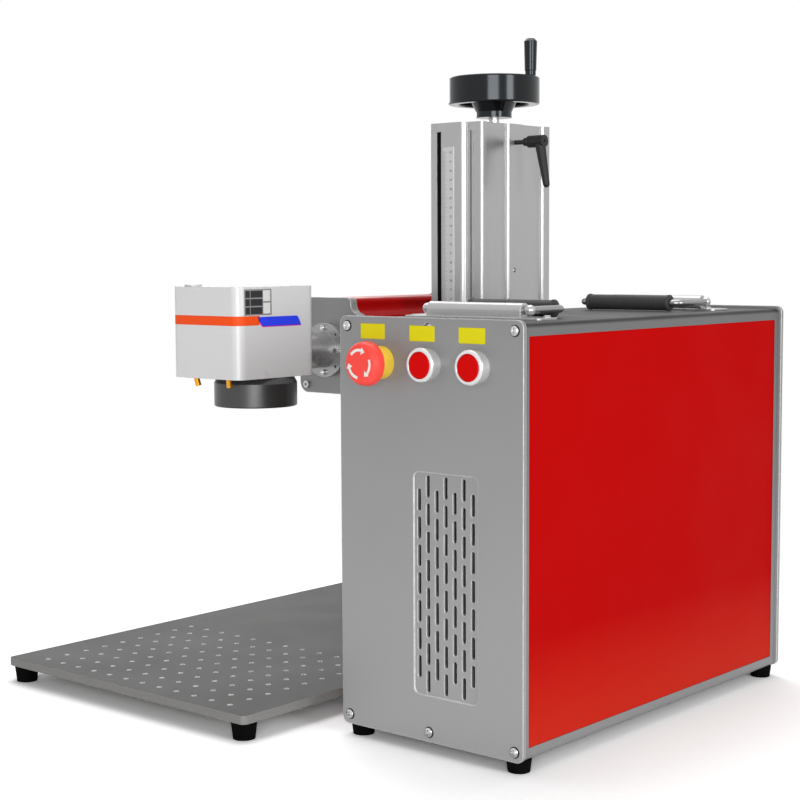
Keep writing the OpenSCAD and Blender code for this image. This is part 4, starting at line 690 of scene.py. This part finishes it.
@dataclass
class Cabinet(Assembly):
    """The cabinet with its panels, switches and carrying handles."""

    coats: ClassVar[dict[Finish, str]] = {
        PANEL: "front_panel rear_panel",
        COVER: "top_cover bottom_plate",
        RAIL: "rails corner_posts",
        SIDE: "side_panels",
        CHROME: "panel_screws",
        BEZEL: "button_bezels",
        FOOT: "cabinet_feet",
        GRIP: "front_grip rear_grip",
        YELLOW: "estop_collar",
        RED_HEAD: "estop_head",
        RED_PLASTIC: "button_cap_middle button_cap_right power_rocker",
        DARK_PLASTIC: "estop_stem fan_frame fan_rotor power_inlet cable_gland",
        HANDLE_PLATE: "handle_plates",
        HANDLE: "front_bail rear_bail",
        STEEL: "equipment_shelf power_supply tie_bars",
        BLACK_SATIN: "laser_source",
        CARD: "control_card",
    }

    sticker_size: Flat = (29.0 * MM, 13.8 * MM)
    sticker_radius: float = 0.8 * MM
    sticker_thickness: float = 0.15 * MM
    sticker_places: tuple[Flat, ...] = ((39.9 * MM, 364.6 * MM), (97.6 * MM, 364.0 * MM),
                                        (153.2 * MM, 363.6 * MM))
    arrow_radius: float = 12.4 * MM
    arrow_width: float = 2.7 * MM
    arrow_start: float = 20.0
    arrow_sweep: float = 62.0
    arrow_tip: float = 20.0
    arrow_barbs: Flat = (1.2, 1.5)
    arrow_count: int = 3
    grip_bevel: Flat = (1.5 * MM, 1.0 * MM)
    grip_ribs: int = 30
    grip_rib_depth: float = 0.5 * MM
    grip_rib_shares: tuple[float, ...] = (0.12, 0.3, 0.5, 0.7, 0.88)
    grip_collar: float = 4.0 * MM
    wire_radius: float = 3.5 * MM
    knuckle_radius: float = 4.9 * MM
    knuckle_offset: float = 1.2 * MM
    knuckle_arc: Flat = (-79.2, 158.4)
    # painted shadow rings round the front panel's screws
    screw_shadow_width: float = 0.9 * MM
    screw_shadow_height: float = 0.08 * MM
    screw_shadow_cover: float = 0.3 * MM
    filter_place: Flat = (84.0 * MM, 39.0 * MM)
    filter_size: Flat = (78.0 * MM, 206.0 * MM)
    filter_radius: float = 2.0 * MM
    filter_thickness: float = 1.5 * MM
    filter_gap: float = 0.1 * MM

    def build(self) -> None:
        """Builds the stickers, filter, painted screw shadows, arrows, grips and knuckles."""
        self._stickers()
        self._filter()
        self._screw_shadow_rings()
        self._arrows()
        for side, towards_grip in (("front", 1.0), ("rear", -1.0)):
            self._grip(side + "_grip", side + "_handle")
            self._knuckles(side, towards_grip)

    def _stickers(self) -> None:
        """Three bare stickers over the switches."""
        low, _ = node_box("front_panel")
        mesh = Mesh()
        outline = rounded_outline(*self.sticker_size, self.sticker_radius)
        for x, z in self.sticker_places:
            mesh.plate(outline, (low.x + x, low.y, low.z + z), X_AXIS, self.sticker_thickness)
        self.make(mesh, "switch_stickers", STICKER, "machine", "yellow_plastic")

    def _filter(self) -> None:
        """Dark foam sheet close behind the slots."""
        low, high = node_box("front_panel")
        across, up = self.filter_place
        width, height = self.filter_size
        mesh = Mesh()
        mesh.plate(rounded_outline(width, height, self.filter_radius),
                   (low.x + across + width / 2, high.y + self.filter_gap + self.filter_thickness,
                    low.z + up + height / 2), X_AXIS, self.filter_thickness)
        self.make(mesh, "slot_filter", FILTER, "machine", "black_plastic")

    def _screw_shadow_rings(self) -> None:
        """Dark rings round the screws of the front panel: painted shadow round each screw head."""
        low, _ = node_box("front_panel")
        lift = self.screw_shadow_height
        mesh = Mesh()
        for start, end in island_boxes("panel_screws"):
            if start.y > low.y:
                continue
            radius = (end.x - start.x) / 2
            inner, outer = radius - self.screw_shadow_cover, radius + self.screw_shadow_width
            middle = (start + end) / 2
            profile = [(inner, -lift), (inner, lift), (outer - lift, lift), (outer, 0.0),
                       (outer, -lift)]
            mesh.revolve(profile, quarter_turned((middle.x, low.y, middle.z), "X"), sides=40,
                         closed=True)
        self.make(mesh, "screw_shadow_rings", DARK_PLASTIC, "machine", "black_plastic")

    def _arrows(self) -> None:
        """Three curved arrows on the emergency stop, which show the way it turns."""
        low, high = node_box("estop_head")
        middle = (low + high) / 2
        half = self.arrow_width / 2
        outward, inward = (barb * self.arrow_width for barb in self.arrow_barbs)
        mesh = Mesh()
        for i in range(self.arrow_count):
            start = self.arrow_start + 360.0 / self.arrow_count * i
            last = start - self.arrow_sweep
            outline = arc(self.arrow_radius + half, start, -self.arrow_sweep, steps=12)
            outline += [on_circle(self.arrow_radius + outward, last),
                        on_circle(self.arrow_radius, last - self.arrow_tip),
                        on_circle(self.arrow_radius - inward, last)]
            outline += arc(self.arrow_radius - half, last, self.arrow_sweep, steps=12)
            mesh.plate(outline[::-1], (middle.x, low.y, middle.z), X_AXIS, self.sticker_thickness)
        self.make(mesh, "estop_arrows", WHITE_PRINT, "estop_head", "red_plastic")

    def _grip(self, node: str, body: str) -> None:
        """A ribbed rubber sleeve in place of the plain one of a node."""
        low, high = node_box(node)
        middle = (low + high) / 2
        radius = (high.z - low.z) / 2
        length = high.x - low.x
        inset, depth = self.grip_bevel
        end: list[Flat] = [(radius / 2, 0.0), (radius - inset, 0.0), (radius, depth),
                           (radius, self.grip_collar - depth),
                           (radius - 2.0 * self.grip_rib_depth, self.grip_collar)]
        span = length - 2 * self.grip_collar
        ribs = [(radius - self.grip_rib_depth * (2.0 - math.sin(math.pi * share)),
                 self.grip_collar + span * (i + share) / self.grip_ribs)
                for i in range(self.grip_ribs) for share in self.grip_rib_shares]
        far_end = [(wide, length - along) for wide, along in reversed(end)]
        mesh = Mesh()
        mesh.revolve(end + ribs + far_end, quarter_turned((low.x, middle.y, middle.z), "Y"),
                     closed=True)
        piece = self.make(mesh, node + "_ribbed", GRIP, body, "black_rubber")
        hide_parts(node)

    def _knuckles(self, side: str, towards_grip: float) -> None:
        """Swaged knuckles where a bail's wire leaves its barrel: 1 is a grip towards +Y."""
        low, high = node_box(side + "_bail")
        hinge = low.y if towards_grip > 0 else high.y
        y = hinge + towards_grip * (self.wire_radius + self.knuckle_offset)
        mesh = Mesh()
        for x in (low.x + self.wire_radius, high.x - self.wire_radius):
            mesh.revolve(arc(self.knuckle_radius, *self.knuckle_arc, steps=10),
                         quarter_turned((x, y, (low.z + high.z) / 2), "Y"), sides=32)
        self.make(mesh, side + "_knuckles", HANDLE_PLATE, side + "_handle", "chrome",
                  smooth_angle=50.0)


@dataclass
class WorkTable(Assembly):
    """The drilled table."""

    coats: ClassVar[dict[Finish, str]] = {TABLE: "table_plate", FOOT: "table_feet"}

    bush_wall: float = 0.7 * MM
    bush_lip: float = 0.1 * MM
    bush_depth: float = 3.0 * MM
    bush_height: float = 0.06 * MM
    hole_radius: float = 2.5 * MM
    pitch: float = 25.0 * MM
    columns: int = 12
    rows: int = 9
    front: float = 21.0 * MM

    def build(self) -> None:
        """Builds the bright bushes of the holes."""
        low, high = node_box("table_plate")
        mesh = Mesh()
        lift = self.bush_height
        hole = self.hole_radius
        inner, outer = hole - self.bush_wall, hole + self.bush_lip
        profile = [(inner, -self.bush_depth), (inner, lift / 2), (inner + lift, lift),
                   (outer - lift, lift), (outer, lift / 2), (outer, 0.0), (hole, 0.0),
                   (hole, -self.bush_depth)]
        for i in range(self.columns):
            for j in range(self.rows):
                x = (low.x + high.x) / 2 + (i - (self.columns - 1) / 2) * self.pitch
                y = low.y + self.front + j * self.pitch
                mesh.revolve(profile, Matrix.Translation((x, y, high.z)), sides=20, closed=True)
        self.make(mesh, "hole_bushes", BUSH, "machine", "bright_alloy")


@dataclass
class Column(Assembly):
    """The lifting column with its ruler, handwheel and clamp lever."""

    coats: ClassVar[dict[Finish, str]] = {
        COLUMN: "column_body column_cover column_cap",
        RAIL: "column_base",
        RULER: "ruler",
        CHROME: "guide_rods",
        STEEL: "lead_screw",
        LEVER: "clamp_lever clamp_screw",
        BLACK_GLOSS: "handwheel wheel_grip",
    }

    tick_pitch: float = 1.0 * MM
    tick_start: float = 0.4 * MM
    tick_height: float = 0.18 * MM
    tick_lengths: tuple[float, float, float] = (3.0 * MM, 4.5 * MM, 6.0 * MM)
    print_depth: float = 0.06 * MM
    figure_size: float = 3.6 * MM
    figure_inset: float = 4.4 * MM
    ruler_margin: float = 4.0 * MM
    # black sheet of painted shade in the cover's slit
    shade_lining_inset: float = 0.6 * MM
    shade_lining_thickness: float = 0.1 * MM
    plug_place: Flat = (65.0 * MM, 391.0 * MM)
    plug_radius: float = 2.1 * MM
    plug_sunk: float = 2.0 * MM
    plug_dome: float = 78.75

    def build(self) -> None:
        """Builds the ruler's marks and figures, the painted shade in the cover's slit and the plug.
        """
        self._ruler()
        self._slit_shade_lining()
        self._plug()

    def _plug(self) -> None:
        """Bright domed plug sunk in the small hole of the right face."""
        low, high = node_box("column_body")
        across, up = self.plug_place
        place = quarter_turned((high.x - self.plug_sunk, low.y + across, low.z + up), "Y")
        profile = [(self.plug_radius, -self.plug_sunk)]
        profile += [(self.plug_radius * u, self.plug_sunk * v)
                    for u, v in arc(1.0, 0.0, self.plug_dome, steps=7)]
        mesh = Mesh()
        mesh.revolve(profile, place, sides=24)
        self.make(mesh, "column_plug", CHROME, "machine", "chrome", smooth_angle=50.0)

    def _slit_shade_lining(self) -> None:
        """Black sheet on the cover's inner side, seen through the slit: painted shade in the slit.
        """
        low, high = node_box("column_cover")
        inset = self.shade_lining_inset
        outline = rectangle(high.y - low.y - 2 * inset, high.z - low.z - 2 * inset)
        mesh = Mesh()
        mesh.plate(outline, (high.x, low.y + inset, low.z + inset), Y_AXIS, self.shade_lining_thickness)
        self.make(mesh, "cover_shade_lining", DARK_PLASTIC, "machine", "black_plastic")

    def _ruler(self) -> None:
        """Marks and figures of the ruler."""
        low, high = node_box("ruler")
        marks, figures = Mesh(), Mesh()
        count = int((high.z - low.z - 2 * self.ruler_margin) / self.tick_pitch)
        short, middle, long = self.tick_lengths
        for i in range(count + 1):
            length = long if i % 10 == 0 else middle if i % 5 == 0 else short
            z = low.z + self.ruler_margin + i * self.tick_pitch
            marks.plate(rectangle(length, self.tick_height), (low.x + self.tick_start, low.y, z),
                        X_AXIS, self.print_depth)
            if i % 10 == 0 and i > 0:
                place = quarter_turned((high.x - self.figure_inset, low.y, z), "X")
                figures.text(str(i // 10), self.figure_size, place, self.print_depth)
        self.make(marks, "ruler_marks", BLACK_PRINT, "machine", "steel")
        self.make(figures, "ruler_figures", BLACK_PRINT, "machine", "steel")


@dataclass
class LaserArm(Assembly):
    """The laser arm and the carriage that carries it."""

    coats: ClassVar[dict[Finish, str]] = {
        ARM_COAT: "arm_housing",
        ARM_PLATE: "arm_front_plate arm_rear_plate carriage_plate carriage_block",
        TUBE: "beam_tube",
        CHROME: "arm_screws",
        BLACK_SATIN: "collimator",
        BRASS: "screw_nut",
    }


@dataclass
class ScanHead(Assembly):
    """The scan head with its stripe, tag and data plate, all bare."""

    coats: ClassVar[dict[Finish, str]] = {
        HEAD: "head_housing",
        ARM_PLATE: "head_base",
        BLACK_SATIN: "scan_motors lens_barrel",
        GLASS: "lens_glass",
        MIRROR: "mirror_x mirror_y",
        BRASS: "pointers",
    }

    print_thickness: float = 0.12 * MM
    corner_radius: float = 11.0 * MM
    stripe_low: float = 55.0 * MM
    stripe_height: float = 9.6 * MM
    stripe_reach: float = 30.0 * MM
    tag_length: float = 55.5 * MM
    tag_lean: float = 6.0 * MM
    tag_rim: float = 0.9 * MM
    tag_overlap: float = 1.0 * MM
    tag_drop: float = 1.2 * MM
    tag_bends: Flat = (2.0, 0.7)
    plate_start: float = 9.0 * MM
    plate_length: float = 38.5 * MM
    plate_low: float = 65.2 * MM
    plate_height: float = 26.6 * MM
    plate_radius: float = 0.5 * MM
    cell_columns: tuple[Flat, ...] = ((0.04, 0.16), (0.23, 0.43))
    cell_rows: tuple[Flat, ...] = ((0.05, 0.26), (0.365, 0.26), (0.68, 0.26))
    field_columns: tuple[Flat, ...] = ((0.69, 0.26),)
    field_rows: tuple[Flat, ...] = ((0.05, 0.42), (0.53, 0.42))

    def build(self) -> None:
        """Builds the stripe, the tag and the plate."""
        self.low, self.high = node_box("head_housing")
        self._stripe()
        self._tag()
        self._plate()

    def _stripe(self) -> None:
        """Orange band round the front and partly along both sides."""
        low, high = self.low, self.high
        radius = self.corner_radius
        path = [(Vector((low.x, low.y + self.stripe_reach, 0)), Vector((-1, 0, 0)))]
        for x, start in ((low.x + radius, 180.0), (high.x - radius, 270.0)):
            for u, v in arc(1.0, start, 90.0, steps=10):
                out = Vector((u, v, 0))
                path.append((Vector((x, low.y + radius, 0)) + out * radius, out))
        path.append((Vector((high.x, low.y + self.stripe_reach, 0)), Vector((1, 0, 0))))
        bottom = Vector((0, 0, low.z + self.stripe_low))
        top = bottom + Vector((0, 0, self.stripe_height))
        mesh = Mesh()
        rings = []
        for point, out in path:
            raised = point + out * self.print_thickness
            rings.append([mesh.work.verts.new(corner) for corner in (
                point + bottom, raised + bottom, raised + top, point + top)])
        mesh.skin(rings, True)
        self.make(mesh, "head_stripe", ORANGE, "carriage", "red_plastic")

    def _tag(self) -> None:
        """Bare blue tag with a bright rim at the end of the stripe."""
        start = self.low.y + self.stripe_reach - self.tag_overlap
        z = self.low.z + self.stripe_low - self.tag_drop
        near, far = self.tag_bends
        shares = (0.0, 0.25, 0.5, 0.75, 1.0)
        for name, finish, grow, lift in (("head_tag_rim", MAGENTA, self.tag_rim, 1.0),
                                         ("head_tag", BLUE, 0.0, 2.0)):
            heights = [self.stripe_height * share - grow * (1.0 - share) for share in shares]
            left = [(self.tag_lean * (1.0 - share) ** near - grow, height)
                    for share, height in zip(shares, heights)]
            right = [(self.tag_length + self.tag_lean * (1.0 - share) ** far, height)
                     for share, height in zip(shares, heights)]
            mesh = Mesh()
            mesh.plate(right + left[::-1], (self.high.x, start, z), Y_AXIS,
                       self.print_thickness * lift)
            self.make(mesh, name, finish, "carriage", "red_plastic")

    def _plate(self) -> None:
        """Bare data plate: a frame, dark cells and two light fields."""
        base = Mesh()
        base.plate(rounded_outline(self.plate_length, self.plate_height, self.plate_radius),
                   self._on_plate(0.5, 0.5), Y_AXIS, self.print_thickness)
        self.make(base, "data_plate", PLATE_SILVER, "carriage", "bright_alloy")
        dark = self._cells(self.cell_columns, self.cell_rows)
        light = self._cells(self.field_columns, self.field_rows)
        self.make(dark, "data_plate_cells", PLATE_DARK, "carriage", "black_plastic")
        self.make(light, "data_plate_fields", PLATE_LIGHT, "carriage", "bright_alloy")

    def _on_plate(self, along: float, up: float) -> Point:
        """Place on the head's side, by shares of the data plate's length and height."""
        return (self.high.x, self.low.y + self.plate_start + along * self.plate_length,
                self.low.z + self.plate_low + up * self.plate_height)

    def _cells(self, columns: Sequence[Flat], rows: Sequence[Flat]) -> Mesh:
        """Cells on the data plate, by start and size of each column and row as shares of it."""
        mesh = Mesh()
        for row, height in rows:
            for column, width in columns:
                mesh.plate(rectangle(width * self.plate_length, height * self.plate_height),
                           self._on_plate(column, row), Y_AXIS, 2 * self.print_thickness)
        return mesh


@dataclass(frozen=True)
class Lamp:
    """One soft rectangular lamp: places in metres, power in watts."""

    name: str
    place: Point
    target: Point
    size: Flat
    power: float

    def hang(self, scene: Scene) -> None:
        """Hangs the lamp in the scene, facing its target."""
        data = bpy.data.lights.new(self.name, "AREA")
        data.shape = "RECTANGLE"
        data.size, data.size_y = self.size
        data.energy = self.power
        lamp = bpy.data.objects.new(self.name, data)
        lamp.location = self.place
        way = Vector(self.target) - Vector(self.place)
        lamp.rotation_euler = way.to_track_quat("-Z", "Y").to_euler()
        lamp.visible_camera = False
        scene.collection.objects.link(lamp)


@dataclass
class Studio:
    """Camera, floor and lights. The camera stands where the photograph was taken."""

    eye: Point = (1129.7 * MM, -1311.1 * MM, 444.0 * MM)
    yaw: float = 40.83
    pitch: float = 5.0
    roll: float = -0.29
    focal_pixels: float = 1662.8
    picture_pixels: float = 800.0
    sensor: float = 36.0
    clip: Flat = (0.05, 60.0)
    floor_size: float = 40.0
    ambient: float = 0.3
    floor_tone: float = 0.9
    floor_seen: float = 1.43
    floor_clear: Flat = (0.48, 0.85)
    lamps: tuple[Lamp, ...] = (
        Lamp("front softbox", (1.66, -2.13, 0.6), (0.0, 0.0, 0.4), (1.3, 1.05), 34.0),
        Lamp("right softbox", (2.67, -0.38, 0.85), (0.0, 0.0, 0.5), (0.8, 0.95), 21.0),
        Lamp("top softbox", (-0.4, 0.5, 2.4), (0.0, 0.0, 0.1), (1.8, 1.8), 30.0),
        Lamp("rear softbox", (-2.2, 1.5, 1.4), (0.0, 0.0, 0.3), (1.4, 1.4), 12.0))

    def build(self) -> None:
        """Sets the camera, the floor, the world and the lamps."""
        scene = bpy.context.scene
        scene.view_settings.view_transform = "Standard"
        self._camera(scene)
        self._floor(scene)
        self._world(scene)
        for lamp in self.lamps:
            lamp.hang(scene)

    def _camera(self, scene: Scene) -> None:
        """Puts the camera into the scene at the photograph's place."""
        data = bpy.data.cameras.new("camera")
        data.sensor_width = self.sensor
        data.lens = self.focal_pixels / self.picture_pixels * self.sensor
        data.clip_start, data.clip_end = self.clip
        camera = bpy.data.objects.new("camera", data)
        turn = (Matrix.Rotation(math.radians(self.yaw), 4, "Z")
                @ Matrix.Rotation(math.radians(90.0 - self.pitch), 4, "X")
                @ Matrix.Rotation(math.radians(self.roll), 4, "Z"))
        camera.matrix_world = Matrix.Translation(self.eye) @ turn
        scene.collection.objects.link(camera)
        scene.camera = camera

    def _floor(self, scene: Scene) -> None:
        """Lays a plain pale floor that keeps the shadow."""
        half = self.floor_size / 2
        data = bpy.data.meshes.new("floor")
        data.from_pydata([(-half, -half, 0), (half, -half, 0), (half, half, 0), (-half, half, 0)],
                         [], [(0, 1, 2, 3)])
        data.materials.append(self._floor_material())
        floor = bpy.data.objects.new("floor", data)
        scene.collection.objects.link(floor)

    def _floor_material(self) -> Material:
        """Pale floor that clears to white away from the machine, for camera, metal and glass."""
        material = bpy.data.materials.new("pale floor")
        material.use_nodes = True
        material.node_tree.nodes.clear()
        nodes = Nodes(material.node_tree)
        plain, mirrored, direct = ((tone, tone, tone, 1.0)
                                   for tone in (self.floor_tone, 1.0, self.floor_seen))
        colour = nodes.blend(nodes.rays("Glossy"), plain, mirrored)
        colour = nodes.blend(nodes.rays("Camera", "Transmission"), colour, direct)
        matt = nodes.add("BsdfDiffuse", {"Color": colour})
        reach = nodes.add("VectorMath", {0: nodes.place()}, operation="LENGTH")
        fade = nodes.ramp(reach.outputs["Value"], self.floor_clear, (0.0, 1.0), "SMOOTHSTEP")
        shown = nodes.rays("Camera", "Transmission", "Glossy")
        glow = nodes.add("Emission", {"Color": WHITE, "Strength": 1.0})
        mixed = nodes.add("MixShader", {0: nodes.math("MULTIPLY", shown, fade),
                                        1: matt.outputs[0], 2: glow.outputs[0]})
        nodes.add("OutputMaterial", {"Surface": mixed.outputs[0]})
        return material

    def _world(self, scene: Scene) -> None:
        """Lights the scene evenly and shows white to the camera, metal and glass."""
        world = bpy.data.worlds.new("studio")
        scene.world = world
        world.use_nodes = True
        world.node_tree.nodes.clear()
        nodes = Nodes(world.node_tree)
        seen = nodes.rays("Camera", "Transmission", "Glossy")
        strength = nodes.math("MULTIPLY_ADD", seen, 1.0 - self.ambient, self.ambient)
        light = nodes.add("Background", {"Color": WHITE, "Strength": strength})
        nodes.add("OutputWorld", {"Surface": light.outputs[0]})


def main() -> None:
    """Builds and dresses the machine."""
    logging.basicConfig(level=logging.INFO, format="%(name)s: %(message)s")
    store = FinishStore()
    for assembly in (Cabinet, WorkTable, Column, LaserArm, ScanHead):
        part = assembly(store)
        part.dress()
        part.build()
    Studio().build()


if __name__ == "__main__":
    main()
